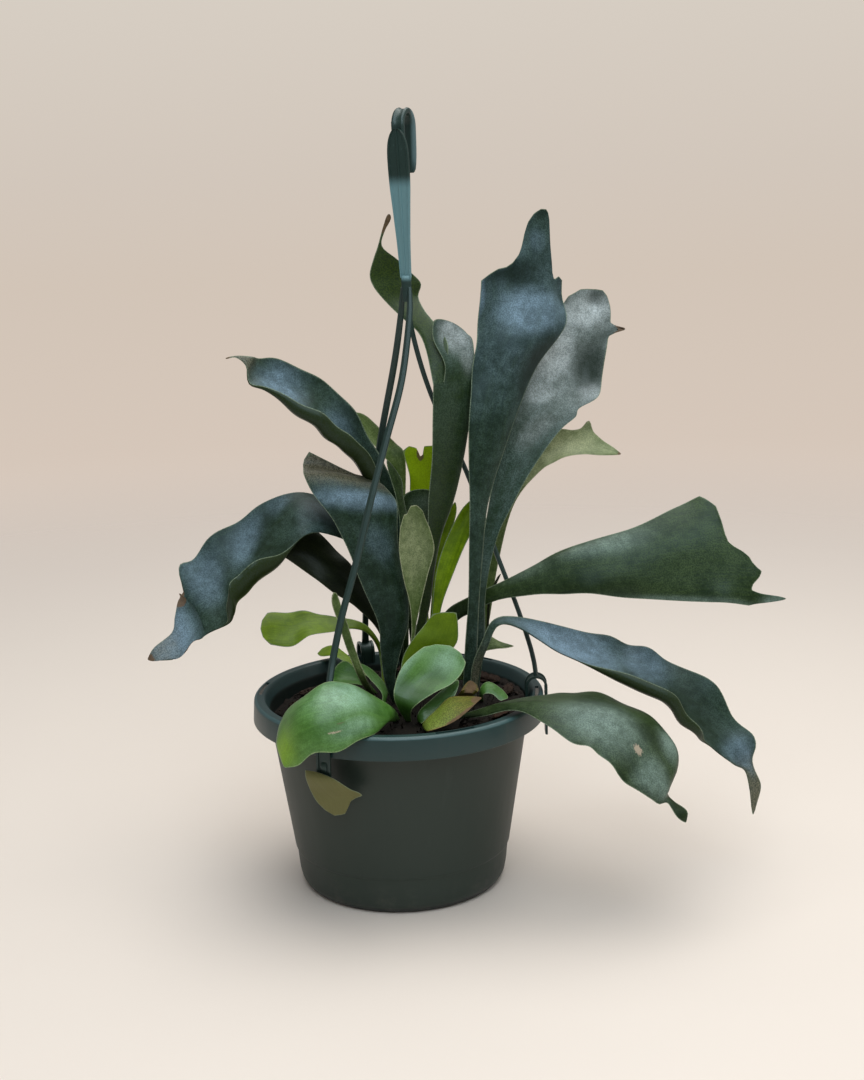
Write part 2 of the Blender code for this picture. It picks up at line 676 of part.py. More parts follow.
    leaf("frond_pale_left", sage, [
        (-10, 60, 130,  -4, 59, 130,  0),
        (-3, 62, 187,  2, 62, 187,  0),
        (-1, 60, 233,  5, 62, 232,  0),
        (0, 60, 267,  9, 63, 269,  0),
        (-1, 62, 286,  9, 66, 295,  -1),
        (-9, 62, 298,  3, 68, 303,  -2),
        (-17, 62, 308,  -7, 68, 313,  -2),
        (-25, 62, 319,  -18, 67, 324,  -1),
        (-30, 63, 326,  -27, 65, 328,  0),
    ], columns=3)
    leaf("blade_narrow_left", green, [
        (2, 24, 130,  7, 26, 130,  0),
        (4, 4, 173,  8, 6, 172,  0),
        (4, 4, 217,  9, 8, 216,  0),
        (4, 4, 252,  10, 10, 252,  0),
        (2, 4, 274,  7, 10, 275,  0),
        (-2, 3, 290,  6, 10, 287,  0),
        (-5, 3, 302,  -2, 8, 301,  0),
    ], columns=3)
    leaf("leaf_round_dark", green, [
        (12, 50, 130,  17, 52, 130,  0),
        (8, 32, 180,  14, 34, 179,  0),
        (6, 32, 217,  15, 34, 216,  0),
        (5, 32, 243,  21, 36, 241,  1),
        (6, 32, 259,  27, 38, 258,  2),
        (7, 32, 270,  29, 38, 268,  2),
        (12, 32, 276,  28, 37, 275,  1),
    ])
    leaf("leaf_spoon_sage", sage, [
        (8, -10, 130,  11, -10, 130,  0),
        (8, -18, 165,  11, -18, 165,  0),
        (10, -18, 188,  13, -16, 187,  0),
        (9, -18, 206,  17, -14, 204,  -1),
        (5, -20, 225,  22, -14, 223,  -3),
        (3, -20, 244,  27, -14, 242,  -3),
        (4, -20, 260,  24, -14, 259,  -3),
        (7, -19, 274,  22, -15, 273,  -2),
    ])
    leaf("leaf_strap_bright", lime, [
        (21, 22, 130,  27, 24, 130,  0),
        (24, 4, 165,  29, 4, 165,  0),
        (25, 4, 194,  31, 2, 194,  0),
        (28, 4, 220,  39, 0, 218,  -2),
        (34, 5, 240,  48, 1, 239,  -3),
        (44, 4, 261,  57, 2, 257,  -3),
        (53, 5, 274,  61, 3, 272,  -1),
    ])
    leaf("leaf_strap_thin", lime, [
        (32, 48, 130,  36, 49, 130,  0),
        (24, 40, 162,  28, 40, 162,  0),
        (26, 36, 201,  30, 36, 201,  0),
        (28, 34, 223,  33, 34, 225,  0),
        (31, 32, 238,  38, 33, 238,  0),
        (37, 32, 254,  44, 33, 255,  0),
        (42, 32, 265,  45, 32, 266,  0),
    ], columns=3)
    leaf("leaf_olive_flat", olive, [
        (3, -20, 130,  8, -20, 130,  0),
        (2, -36, 156,  13, -36, 152,  0),
        (3, -34, 170,  27, -32, 166,  1),
        (10, -32, 183,  40, -28, 178,  2),
        (18, -30, 192,  42, -26, 189,  1),
        (26, -29, 202,  41, -25, 200,  0),
    ])
    leaf("leaf_spoon_front", green, [
        (4, -46, 130,  8, -48, 130,  0),
        (-3, -58, 149,  9, -62, 144,  -1),
        (-2, -54, 160,  22, -60, 153,  -2),
        (4, -48, 171,  37, -54, 159,  -2),
        (15, -42, 179,  45, -48, 168,  -1),
        (25, -38, 184,  46, -44, 178,  0),
    ])
    leaf("leaf_oval_front_left", fresh, [
        (-4, -47, 130,  0, -39, 130,  0),
        (-8, -72, 138,  -4, -54, 142,  1),
        (-16, -93, 138,  -14, -62, 152,  3),
        (-27, -106, 138,  -31, -74, 166,  7),
        (-40, -113, 133,  -46, -84, 171,  9),
        (-55, -114, 133,  -61, -87, 164,  9),
        (-66, -112, 125,  -74, -80, 150,  6),
        (-75, -106, 121,  -82, -84, 134,  2),
    ])
    leaf("leaf_spatula_left", lime, [
        (-12, 36, 130,  -8, 38, 130,  0),
        (-14, 46, 153,  -11, 48, 154,  0),
        (-22, 42, 168,  -20, 46, 171,  0),
        (-33, 34, 174,  -31, 44, 178,  0),
        (-47, 26, 174,  -47, 44, 181,  -1),
        (-62, 18, 175,  -65, 42, 186,  -2),
        (-75, 14, 168,  -78, 40, 186,  -1),
        (-89, 14, 169,  -91, 36, 188,  0),
        (-97, 15, 172,  -98, 32, 186,  0),
    ])
    leaf("leaf_slender_pale", sage, [
        (-19, 7, 130,  -16, 7, 130,  0),
        (-27, -20, 152,  -22, -20, 153,  0),
        (-35, -22, 175,  -29, -20, 174,  0),
        (-40, -22, 193,  -34, -20, 193,  0),
        (-44, -22, 207,  -38, -20, 206,  0),
        (-44, -22, 216,  -40, -20, 215,  0),
    ], columns=3, stalk=SHOOT_THICKNESS)
    leaf("leaf_on_back_rim", lime, [
        (-18, 48, 130,  -16, 52, 130,  0),
        (-42, 70, 140,  -40, 80, 143,  0),
        (-49, 72, 143,  -48, 86, 147,  0),
        (-57, 78, 141,  -56, 92, 144,  0),
        (-61, 84, 141,  -60, 90, 141,  0),
    ], columns=3)
    leaf("leaf_folded_green", fresh, [
        (-19, 17, 130,  -15, 18, 130,  0),
        (-24, -2, 142,  -23, 6, 144,  -1),
        (-34, -8, 146,  -30, 8, 152,  -3),
        (-44, -10, 147,  -37, 8, 158,  -4),
        (-47, -8, 150,  -44, 4, 157,  -1),
    ], columns=3)
    leaf("leaf_narrow_green", green, [
        (-13, -12, 130,  -10, -7, 130,  0),
        (-12, -8, 138,  -8, 0, 139,  0),
        (-21, -2, 148,  -16, 6, 149,  0),
        (-28, 2, 156,  -25, 8, 156,  0),
    ], columns=3)
    leaf("shield_withered", yellow, [
        (16, -60, 130,  19, -65, 130,  0),
        (16, -70, 137,  18, -86, 136,  0),
        (25, -62, 143,  28, -84, 138,  1),
        (34, -56, 149,  37, -78, 140,  1),
        (45, -54, 149,  45, -72, 144,  1),
        (56, -56, 149,  55, -62, 149,  0),
    ], columns=3)
    leaf("shield_dark", olive, [
        (12, -50, 130,  16, -51, 130,  0),
        (13, -57, 140,  15, -63, 134,  0),
        (22, -49, 146,  26, -57, 139,  0),
        (32, -41, 152,  37, -47, 146,  0),
        (40, -37, 157,  42, -41, 154,  0),
    ], columns=3)
    leaf("leaf_brown_right", olive, [
        (36, -14, 130,  41, -13, 130,  0),
        (42, -30, 144,  53, -30, 143,  0),
        (45, -26, 147,  55, -26, 146,  0),
        (48, -24, 151,  52, -24, 150,  0),
    ], columns=3)
    leaf("leaf_small_right", fresh, [
        (57, -5, 130,  59, -10, 130,  0),
        (57, -14, 142,  59, -20, 139,  0),
        (63, -10, 145,  65, -20, 139,  1),
        (71, -12, 141,  70, -22, 135,  1),
        (77, -18, 136,  74, -22, 135,  0),
    ], columns=3)
    leaf("leaf_pale_triangle", sage, [
        (40, 38, 130,  43, 39, 130,  0),
        (51, 42, 144,  55, 40, 145,  0),
        (56, 46, 160,  63, 40, 152,  0),
        (64, 47, 164,  72, 40, 154,  0),
        (75, 46, 158,  78, 41, 154,  0),
        (85, 45, 155,  85, 44, 154,  0),
    ], columns=3)
    leaf("shoot_thin", olive, [
        (53, 34, 130,  56, 35, 130,  0),
        (63, 30, 164,  65, 30, 164,  0),
        (66, 32, 193,  68, 32, 193,  0),
        (72, 33, 208,  74, 33, 208,  0),
        (75, 33, 212,  76, 33, 212,  0),
    ], columns=3, stalk=SHOOT_THICKNESS)
    leaf("leaf_dead_hanging", dead, [
        (-63, -87, 112,  -54, -92, 112,  0),
        (-63, -87, 107,  -43, -98, 109,  -1.5),
        (-61, -84, 97,  -34, -98, 100,  -1.5),
        (-53, -85, 84,  -30, -93, 90,  -1),
        (-45, -86, 78,  -40, -88, 80,  0),
    ], columns=3, stalk=BLADE_THICKNESS, seated=False)


clear_scene()
make_basket()
make_mix()
make_crown()
make_bark()
make_hook()
make_strands()
make_fronds()
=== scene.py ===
"""The looks of a staghorn fern in its hanging basket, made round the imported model.

+Z is up, the basket's base is centred on the origin and its front faces -Y. A turn is an
angle about +Z from the front towards the right, in degrees. Pieces are made in millimetres;
the camera, the lights and the finishes use metres.
"""
import math

import bmesh
import bpy
import numpy as np
from mathutils import Matrix, Vector


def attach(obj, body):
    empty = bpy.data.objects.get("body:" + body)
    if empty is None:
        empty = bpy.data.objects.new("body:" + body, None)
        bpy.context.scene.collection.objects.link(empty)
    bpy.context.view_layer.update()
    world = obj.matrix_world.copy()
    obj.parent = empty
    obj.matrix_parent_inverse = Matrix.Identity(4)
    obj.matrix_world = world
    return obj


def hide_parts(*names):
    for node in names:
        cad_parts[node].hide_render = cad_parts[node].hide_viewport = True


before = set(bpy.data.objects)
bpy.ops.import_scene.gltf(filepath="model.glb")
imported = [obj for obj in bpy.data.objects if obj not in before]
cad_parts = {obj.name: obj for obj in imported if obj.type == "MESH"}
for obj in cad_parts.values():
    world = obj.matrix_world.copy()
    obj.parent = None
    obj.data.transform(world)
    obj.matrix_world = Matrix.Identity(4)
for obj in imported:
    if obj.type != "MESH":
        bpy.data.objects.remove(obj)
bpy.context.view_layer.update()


# --- Camera ---------------------------------------------------------------------------------
# A long lens at a little under the hook's height looks down at the basket. It is turned
# slightly to the right and tilted a touch, as a camera held by hand is.

CAMERA_PLACE = Vector((0.0, -1.1297, 0.496))
LOOK_DOWN, LOOK_RIGHT, TILT = math.radians(12.495), math.radians(1.315), -0.0226
LENS, SENSOR_WIDTH = 55.63, 36.0


def placed(name, data):
    """A new object in the scene."""
    made = bpy.data.objects.new(name, data)
    bpy.context.collection.objects.link(made)
    return made


lens = bpy.data.cameras.new("camera")
lens.lens = LENS
lens.sensor_width = SENSOR_WIDTH
camera = placed("camera", lens)
forward = Vector((math.sin(LOOK_RIGHT) * math.cos(LOOK_DOWN),
                  math.cos(LOOK_RIGHT) * math.cos(LOOK_DOWN), -math.sin(LOOK_DOWN)))
right = Vector((math.cos(LOOK_RIGHT), -math.sin(LOOK_RIGHT), 0.0))
level_up = right.cross(forward)
side = right * math.cos(TILT) + level_up * math.sin(TILT)
up = level_up * math.cos(TILT) - right * math.sin(TILT)
facing = Matrix((side, up, -forward)).transposed().to_4x4()
camera.matrix_world = Matrix.Translation(CAMERA_PLACE) @ facing
bpy.context.scene.camera = camera


# --- Floor and light --------------------------------------------------------------------------
# A pale floor that fades into an even, warm backdrop, with a wide light overhead, a cooler one
# in front for the sheen of the fronds, and a weak one at the right. Finishes are node sums.

FLOOR_RADIUS, FLOOR_FADE, FLOOR_SIDES = 1.9, 0.36, 96
FLOOR_COLOUR = (0.79, 0.725, 0.655)
BACKDROP = [(0.0, (0.81, 0.74, 0.67)), (0.355, (0.81, 0.74, 0.67)), (0.389, (0.725, 0.64, 0.575)),
            (0.42, (0.67, 0.57, 0.49)), (0.47, (0.645, 0.555, 0.475)), (0.50, (0.645, 0.57, 0.50)),
            (0.55, (0.675, 0.615, 0.545)), (1.0, (0.72, 0.70, 0.67))]
ROOM_COLOUR = (0.27, 0.265, 0.26)
LIGHTS = [  # name, place, what it points at, size, watts, colour
    ("light_overhead", (0.20, 0.20, 1.60), (0.0, 0.0, 0.2), 1.8, 23.0, (1.0, 0.97, 0.94)),
    ("light_front", (0.15, -1.20, 1.55), (0.0, -0.1, 0.2), 1.4, 15.0, (0.86, 0.93, 1.0)),
    ("light_side", (1.4, -0.3, 1.1), (0.0, 0.0, 0.2), 1.2, 2.5, (1.0, 0.98, 0.95)),
]


class Shade:
    """One socket of a finish. Sums on it add Math nodes, and node() adds any other node."""

    def __init__(self, socket):
        self.socket = socket

    def node(self, kind, inputs=(), output=0, stops=(), **settings):
        """Another node of this finish, by its type, its settings and its sockets' values or links."""
        tree = self.socket.id_data
        made = tree.nodes.new("ShaderNode" + kind)
        for name, value in settings.items():
            setattr(made, name, value)
        if stops:
            ramp = made.color_ramp.elements
            while len(ramp) < len(stops):
                ramp.new(0.5)
            for stop, (place, colour) in zip(ramp, stops):
                stop.position = place
                stop.color = (*colour, 1.0)
        for name, value in dict(inputs).items():
            feed(made.inputs[name], value)
        return Shade(made.outputs[output])

    def sum(self, operation, a, b):
        return self.node("Math", {0: a, 1: b}, operation=operation)

    def __add__(self, other):
        return self.sum("ADD", self, other)

    def __radd__(self, other):
        return self.sum("ADD", other, self)

    def __sub__(self, other):
        return self.sum("SUBTRACT", self, other)

    def __rsub__(self, other):
        return self.sum("SUBTRACT", other, self)

    def __mul__(self, other):
        return self.sum("MULTIPLY", self, other)

    def __rmul__(self, other):
        return self.sum("MULTIPLY", other, self)

    def between(self, low, high):
        """0 below low and 1 above high, with a smooth rise between."""
        return self.node("MapRange", {"Value": self, "From Min": low, "From Max": high},
                         interpolation_type="SMOOTHSTEP")

    def mix(self, a, b):
        """Colour a where this is 0 and colour b where it is 1."""
        return self.node("Mix", {0: self, 6: a, 7: b}, output=2, data_type="RGBA")

    def noise(self, scale, detail=2.0, roughness=0.5):
        """Noise over this vector, from 0 to 1."""
        return self.node("TexNoise", {"Vector": self, "Scale": scale, "Detail": detail,
                                      "Roughness": roughness})

    def stretched(self, x, y, z):
        return self.node("Mapping", {"Vector": self, "Scale": (x, y, z)})

    def length(self):
        return self.node("VectorMath", {0: self}, output="Value", operation="LENGTH")

    def axis(self, which):
        """One of this vector's three numbers."""
        return self.node("SeparateXYZ", {0: self}, output=which)

    def fact(self, name):
        """The three numbers that the mesh keeps for each point under this name."""
        return self.node("Attribute", output="Vector", attribute_name=name)

    def bump(self, strength, distance):
        """The normal of a surface that this raises by up to a distance in metres."""
        return self.node("Bump", {"Height": self, "Strength": strength, "Distance": distance},
                         output="Normal")


def feed(slot, value):
    """Give a socket a link or a plain value."""
    if isinstance(value, Shade):
        slot.id_data.links.new(value.socket, slot)
    elif isinstance(value, tuple) and slot.type == "RGBA":
        slot.default_value = (*value, 1.0)
    else:
        slot.default_value = value


def new_finish(name, **plain):
    """A material, its shader with some sockets set to plain values, and places in metres as a Shade."""
    made = bpy.data.materials.new(name)
    made.use_nodes = True
    shader = made.node_tree.nodes["Principled BSDF"]
    for socket, value in plain.items():
        feed(shader.inputs[socket.replace("_", " ")], value)
    return made, shader, Shade(shader.inputs["Base Color"]).node("TexCoord", output="Object")


floor_finish, shader, place = new_finish("floor_finish", Roughness=0.55)
distance = place.length()
grain = place.noise(6.0, 3.0)
feed(shader.inputs["Base Color"], grain.mix(FLOOR_COLOUR, tuple(0.985 * c for c in FLOOR_COLOUR)))
feed(shader.inputs["Alpha"], 1.0 - distance.between(FLOOR_FADE, FLOOR_RADIUS))
corners = []
for k in range(FLOOR_SIDES):
    angle = math.tau * k / FLOOR_SIDES
    corners.append((FLOOR_RADIUS * math.cos(angle), FLOOR_RADIUS * math.sin(angle), 0.0))
floor_mesh = bpy.data.meshes.new("floor")
floor_mesh.from_pydata(corners, [], [range(FLOOR_SIDES)])
floor_mesh.materials.append(floor_finish)
floor = placed("floor", floor_mesh)

world = bpy.data.worlds.new("backdrop")
world.use_nodes = True
background = world.node_tree.nodes["Background"]
direction = Shade(background.inputs["Color"]).node("TexCoord", output="Generated")
height = direction.axis("Z")
seen = direction.node("LightPath", output="Is Camera Ray")
backdrop = height.node("ValToRGB", {0: 0.5 + 0.5 * height}, stops=BACKDROP)
feed(background.inputs["Color"], seen.mix(ROOM_COLOUR, backdrop))
bpy.context.scene.world = world

for name, place, target, size, power, colour in LIGHTS:
    lamp = bpy.data.lights.new(name, "AREA")
    lamp.shape = "DISK"
    lamp.size = size
    lamp.energy = power
    lamp.color = colour
    holder = placed(name, lamp)
    holder.location = place
    holder.rotation_euler = (Vector(target) - Vector(place)).to_track_quat("-Z", "Y").to_euler()
bpy.context.scene.view_settings.view_transform = "Standard"


# --- Basket -----------------------------------------------------------------------------------
# One moulding in dark green plastic: a floor with a centre pad and a foot ring, a tapered wall
# with a step low down, a flat rim and a skirt. Slots for the hanger's clips go through the rim.

MM = 0.001
RIM_RADIUS, RIM_HEIGHT, SKIRT_FOOT, SKIRT_RADIUS = 101.6, 137.5, 121.5, 102.8
LAND_RADIUS, WALL = 95.0, 1.6
WALL_TOP_RADIUS, WALL_FOOT_RADIUS, STEP_HEIGHT = 91.1, 76.8, 28.0
FOOT_RADIUS, FLOOR_UNDERSIDE, FLOOR_TOP = 67.5, 2.2, 4.6
SLOT_COUNT, SLOT_TURN, SLOT_RADIUS, SLOT_WIDTH, SLOT_LENGTH = 6, -38.0, 97.6, 2.4, 28.0
SLOT_STEPS, SLOT_CUT = 6, 4
DRAIN_COUNT, DRAIN_CIRCLE, DRAIN_RADIUS = 6, 44.0, 4.5
NOTCH_COUNT, NOTCH_TURN, NOTCH_SIZE = 4, 57.0, (9.0, 16.0, 2.6)
EDGE_ROUNDING, BASKET_SEGMENTS = 1.2, 168
WALL_FLARE, WALL_START = 0.153, (0.0710, 0.0715)  # how the wall widens, and from which radius in metres
CREASE, BASKET_CREASE = math.radians(50), math.radians(35)


def around(radius, turn, height=0.0):
    """The point at a radius from the basket's axis and at a turn."""
    angle = math.radians(turn)
    return Vector((radius * math.sin(angle), -radius * math.cos(angle), height))


def new_piece(name, points, faces, finish, slot, *nodes, facts=()):
    """A piece of the object, from points in millimetres, that stands for the named nodes.

    The facts are named lists of three numbers a point, which its finish reads.
    """
    mesh = bpy.data.meshes.new(name)
    mesh.from_pydata([Vector(point) * MM for point in points], [], faces)
    for fact, values in dict(facts).items():
        layer = mesh.attributes.new(fact, "FLOAT_VECTOR", "POINT")
        layer.data.foreach_set("vector", np.asarray(values, float).ravel())
    mesh.materials.append(finish)
    mesh.shade_smooth()
    mesh.set_sharp_from_angle(angle=CREASE)
    piece = placed(name, mesh)
    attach(piece, "root")
    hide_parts(*nodes)
    return piece


def rounded(corners, fillet):
    """An outline with each corner but the first and last cut to a small arc."""
    corners = [Vector(corner) for corner in corners]
    outline = [corners[0]]
    for before, corner, after in zip(corners, corners[1:], corners[2:]):
        reach = min(fillet, 0.4 * (before - corner).length, 0.4 * (after - corner).length)
        start = corner + (before - corner).normalized() * reach
        end = corner + (after - corner).normalized() * reach
        for t in (0.0, 0.33, 0.67, 1.0):
            outline.append(start * (1 - t) ** 2 + corner * 2 * t * (1 - t) + end * t ** 2)
    return outline + [corners[-1]]


def bands(rings):
    """Faces that join rings of point numbers. A ring of one closes to a point."""
    faces = []
    for low, high in zip(rings, rings[1:]):
        count = max(len(low), len(high))
        for k in range(count):
            face = [low[k % len(low)], low[(k + 1) % len(low)],
                    high[(k + 1) % len(high)], high[k % len(high)]]
            faces.append(list(dict.fromkeys(face)))
    return faces


def turned(outline, segments, shape=lambda place: place):
    """Points and faces of an outline of (radius, height), turned about the Z axis."""
    points, rings = [], []
    for radius, height in outline:
        count = segments if radius > 0.01 else 1
        rings.append([len(points) + k for k in range(count)])
        points += [shape(around(radius, 360.0 * k / segments, height)) for k in range(count)]
    return points, bands(rings)


def wall_radius(height):
    """The outer radius of the basket's wall above its step."""
    share = (height - STEP_HEIGHT) / (SKIRT_FOOT - STEP_HEIGHT)
    return WALL_FOOT_RADIUS + (WALL_TOP_RADIUS - WALL_FOOT_RADIUS) * share


def cut(piece, cutter):
    """Cut one mesh out of another for good, and throw the cutter away."""
    step = piece.modifiers.new("cut", "BOOLEAN")
    step.operation = "DIFFERENCE"
    step.solver = "EXACT"
    step.object = cutter
    bpy.context.view_layer.update()
    shaped = piece.evaluated_get(bpy.context.evaluated_depsgraph_get())
    mesh = bpy.data.meshes.new_from_object(shaped)
    piece.modifiers.clear()
    piece.data = mesh
    mesh.shade_smooth()
    mesh.set_sharp_from_angle(angle=BASKET_CREASE)
    bpy.data.objects.remove(cutter)


def add_box(bm, size, place, heading):
    """A box in millimetres, turned about Z."""
    for vert in bmesh.ops.create_cube(bm, size=1.0)["verts"]:
        x, y, z = (vert.co[k] * size[k] for k in range(3))
        vert.co = place - around(y, heading) + around(x, heading + 90) + Vector((0, 0, z))


basket_finish, shader, place = new_finish("basket_finish", Specular_IOR_Level=0.45)
cloudy = place.noise(9.0, 4.0)
scuffs = place.stretched(60.0, 60.0, 7.0).noise(1.0, 4.0, 0.7)
pitted = place.noise(1300.0, 2.0)
height = place.axis("Z")
dust = (1.0 - height.between(0.0, 0.03)) * place.noise(60.0, 5.0, 0.7).between(0.45, 0.75)
# Above the skirt's foot the plastic is glossier, and its lighter teal is a painted reflection of the cool
# front light.
rim = height.between(MM * (SKIRT_FOOT - 1.0), MM * (SKIRT_FOOT + 0.5))
colour = cloudy.mix((0.012, 0.024, 0.018), (0.018, 0.032, 0.024))
colour = rim.mix(colour, cloudy.mix((0.010, 0.032, 0.032), (0.017, 0.048, 0.048)))
from_axis = place.stretched(1.0, 1.0, 0.0).length()
# Painted shade: inside the wall, under the floor and round the foot ring, the plastic is painted near
# black.
outer_side = (from_axis - WALL_FLARE * height).between(*WALL_START)
colour = outer_side.mix((0.006, 0.012, 0.010), colour)
colour = (scuffs.between(0.55, 0.85) * 0.35).mix(colour, (0.045, 0.058, 0.050))
# A painted highlight: a pale teal line round the rim's top outer edge.
painted_rim_highlight = height.between(MM * (RIM_HEIGHT - 2.5), MM * (RIM_HEIGHT - 1.3))
painted_rim_highlight *= from_axis.between(MM * (RIM_RADIUS - 2.1), MM * (RIM_RADIUS - 1.1))
colour = (painted_rim_highlight * 0.6).mix(colour, (0.070, 0.140, 0.145))
feed(shader.inputs["Base Color"], (dust * 0.4).mix(colour, (0.10, 0.095, 0.08)))
feed(shader.inputs["Roughness"], 0.40 - 0.12 * rim + 0.16 * scuffs + 0.08 * cloudy)
dents = pitted * 0.35 + scuffs * 0.3
feed(shader.inputs["Normal"], dents.bump(0.25, 0.0002))

outside = [
    (0, 0), (24, 0), (26, FLOOR_UNDERSIDE), (57, FLOOR_UNDERSIDE), (59, 0), (FOOT_RADIUS, 0),
    (FOOT_RADIUS + 3.0, 1.8), (FOOT_RADIUS + 5.6, 6.0), (FOOT_RADIUS + 6.9, 13.0),
    (WALL_FOOT_RADIUS - 1.1, STEP_HEIGHT - 1.5), (WALL_FOOT_RADIUS, STEP_HEIGHT),
    (wall_radius(75), 75), (WALL_TOP_RADIUS, SKIRT_FOOT), (wall_radius(130), 130),
    (LAND_RADIUS + 0.9, RIM_HEIGHT - WALL),
]
skirt = [
    (RIM_RADIUS - WALL, RIM_HEIGHT - WALL), (SKIRT_RADIUS - WALL, SKIRT_FOOT),
    (SKIRT_RADIUS, SKIRT_FOOT), (RIM_RADIUS + 0.3, RIM_HEIGHT - 1.6), (RIM_RADIUS - 1.2, RIM_HEIGHT),
    (LAND_RADIUS, RIM_HEIGHT),
]
inside = [
    (LAND_RADIUS - 1.2, RIM_HEIGHT - 1.6), (wall_radius(129) - WALL, 129),
    (wall_radius(75) - WALL, 75), (WALL_FOOT_RADIUS - WALL, STEP_HEIGHT),
    (FOOT_RADIUS + 5.2, 13.0), (FOOT_RADIUS + 1.5, 6.0), (FOOT_RADIUS - 3, FLOOR_TOP), (0, FLOOR_TOP),
]
outline = [(point.x, point.y) for point in rounded(outside + skirt + inside, EDGE_ROUNDING)]
basket = new_piece("basket_moulding", *turned(outline, BASKET_SEGMENTS), basket_finish,
                   "basket_plastic", "basket")

openings = bmesh.new()
for k in range(SLOT_COUNT):
    turn = SLOT_TURN + 360.0 * k / SLOT_COUNT
    half = math.degrees(SLOT_LENGTH / 2 / SLOT_RADIUS)
    corners = []
    for step in range(SLOT_STEPS + 1):
        for side, height in ((-1, -SLOT_CUT), (1, -SLOT_CUT), (1, SLOT_CUT), (-1, SLOT_CUT)):
            spot = around(SLOT_RADIUS + side * SLOT_WIDTH / 2, turn + half * (2 * step / SLOT_STEPS - 1),
                          RIM_HEIGHT + height)
            corners.append(openings.verts.new(spot))
    for face in bands([range(4 * step, 4 * step + 4) for step in range(SLOT_STEPS + 1)]):
        openings.faces.new([corners[k] for k in face])
    openings.faces.new(corners[:4])
    openings.faces.new(corners[-4:])
for k in range(DRAIN_COUNT):
    hole = bmesh.ops.create_cone(openings, cap_ends=True, segments=32, radius1=DRAIN_RADIUS,
                                 radius2=DRAIN_RADIUS, depth=2 * FLOOR_TOP)
    bmesh.ops.translate(openings, verts=hole["verts"],
                        vec=around(DRAIN_CIRCLE, 360.0 * k / DRAIN_COUNT, FLOOR_TOP / 2))
for k in range(NOTCH_COUNT):
    turn = NOTCH_TURN + 360.0 * k / NOTCH_COUNT
    add_box(openings, NOTCH_SIZE, around(FOOT_RADIUS - 2.5, turn), turn)
bmesh.ops.recalc_face_normals(openings, faces=openings.faces)
bmesh.ops.scale(openings, vec=(MM, MM, MM), verts=openings.verts)
cutter_mesh = bpy.data.meshes.new("basket_openings")
openings.to_mesh(cutter_mesh)
openings.free()
cut(basket, placed("basket_openings", cutter_mesh))


# --- Growing mix ------------------------------------------------------------------------------
# Dark moss and bark that fills the basket, banked up on the right and low on the left, with
# loose crumbs of bark and fibre all over its top.

MIX_HEIGHT, MIX_BANK, MIX_LEVEL_RADIUS = 126.0, 5.0, 62.0
CRUMB_COUNT, CRUMB_REACH, CRUMB_FLATNESS, CRUMB_ROUGHNESS = 1100, 88.0, 0.6, 0.28
CRUMB_LENGTHS, CRUMB_SHARES = [2.0, 3.0, 4.5, 7.0], [0.35, 0.35, 0.2, 0.1]
SIDE_GAP, MIX_SEGMENTS = WALL + 0.6, 150
chance = np.random.default_rng(7)


def mix_top(place):
    """The height of the growing mix under or over a place."""
    radius = math.hypot(place[0], place[1])
    share = max(0.0, radius - MIX_LEVEL_RADIUS) / (WALL_TOP_RADIUS - MIX_LEVEL_RADIUS)
    return MIX_HEIGHT + MIX_BANK * share * place[0] / max(radius, 1.0)


def crumb(middle, length, width):
    """A lump with uneven corners, longer than it is wide, lying at some heading."""
    bm = bmesh.new()
    bmesh.ops.create_icosphere(bm, subdivisions=1, radius=0.5)
    heading = Matrix.Rotation(chance.uniform(0, math.tau), 3, "Z")
    lean = Matrix.Rotation(chance.normal(0, 0.35), 3, "X") @ Matrix.Rotation(chance.normal(0, 0.3), 3, "Y")
    points = []
    for vert in bm.verts:
        swell = 1 + CRUMB_ROUGHNESS * chance.normal()
        point = Vector((vert.co.x * length, vert.co.y * width, vert.co.z * width * CRUMB_FLATNESS)) * swell
        points.append(middle + heading @ lean @ point)
    faces = [[vert.index for vert in face.verts] for face in bm.faces]
    bm.free()
    return points, faces


def joined(*shapes):
    """One mesh of many."""
    points, faces = [], []
    for shape_points, shape_faces in shapes:
        first = len(points)
        points += shape_points
        faces += [[first + k for k in face] for face in shape_faces]
    return points, faces


def toned(lumps):
    """Three random numbers for each lump, given to all its points, which colour it."""
    tones = []
    for points, _ in lumps:
        tones += [tuple(chance.random(3))] * len(points)
    return tones


def soil_finish(name, dark, brown, pale):
    """A rough, fibrous finish, paler on the lumps whose tone is high."""
    made, shader, place = new_finish(name, Specular_IOR_Level=0.25)
    lot = place.fact("tone").axis("X")
    fibres = place.stretched(900.0, 300.0, 700.0).noise(1.0, 3.0, 0.7)
    colour = place.noise(350.0, 3.0).mix(dark, brown)
    colour = lot.between(0.55, 1.0).mix(colour, brown)
    feed(shader.inputs["Base Color"], (fibres.between(0.55, 0.8) * lot).mix(colour, pale))
    feed(shader.inputs["Roughness"], 0.75 + 0.2 * fibres)
    feed(shader.inputs["Normal"], fibres.bump(0.6, 0.0006))
    return made


mix_finish = soil_finish("mix_finish", (0.004, 0.003, 0.002), (0.014, 0.008, 0.005), (0.060, 0.038, 0.025))
outline = [(0, FLOOR_TOP + 0.3), (FOOT_RADIUS - 4, FLOOR_TOP + 0.3), (FOOT_RADIUS + 0.7, 6.8),
           (FOOT_RADIUS + 4.5, 13.4), (WALL_FOOT_RADIUS - SIDE_GAP, STEP_HEIGHT),
           (wall_radius(75) - SIDE_GAP, 75), (wall_radius(118) - SIDE_GAP, 118)]
outline += [(radius, MIX_HEIGHT) for radius in np.linspace(wall_radius(124) - SIDE_GAP, 0, 64)]


def heaped(place):
    """Makes the mix's open top lumpy, and leaves its sides and underside as they are."""
    if place.z == MIX_HEIGHT:
        lump = math.sin(place.x * 0.31 + 1.7 * math.sin(place.y * 0.17)) * math.cos(place.y * 0.27)
        place.z = mix_top(place) - 0.6 + 0.9 * lump + 0.5 * chance.normal()
    return place


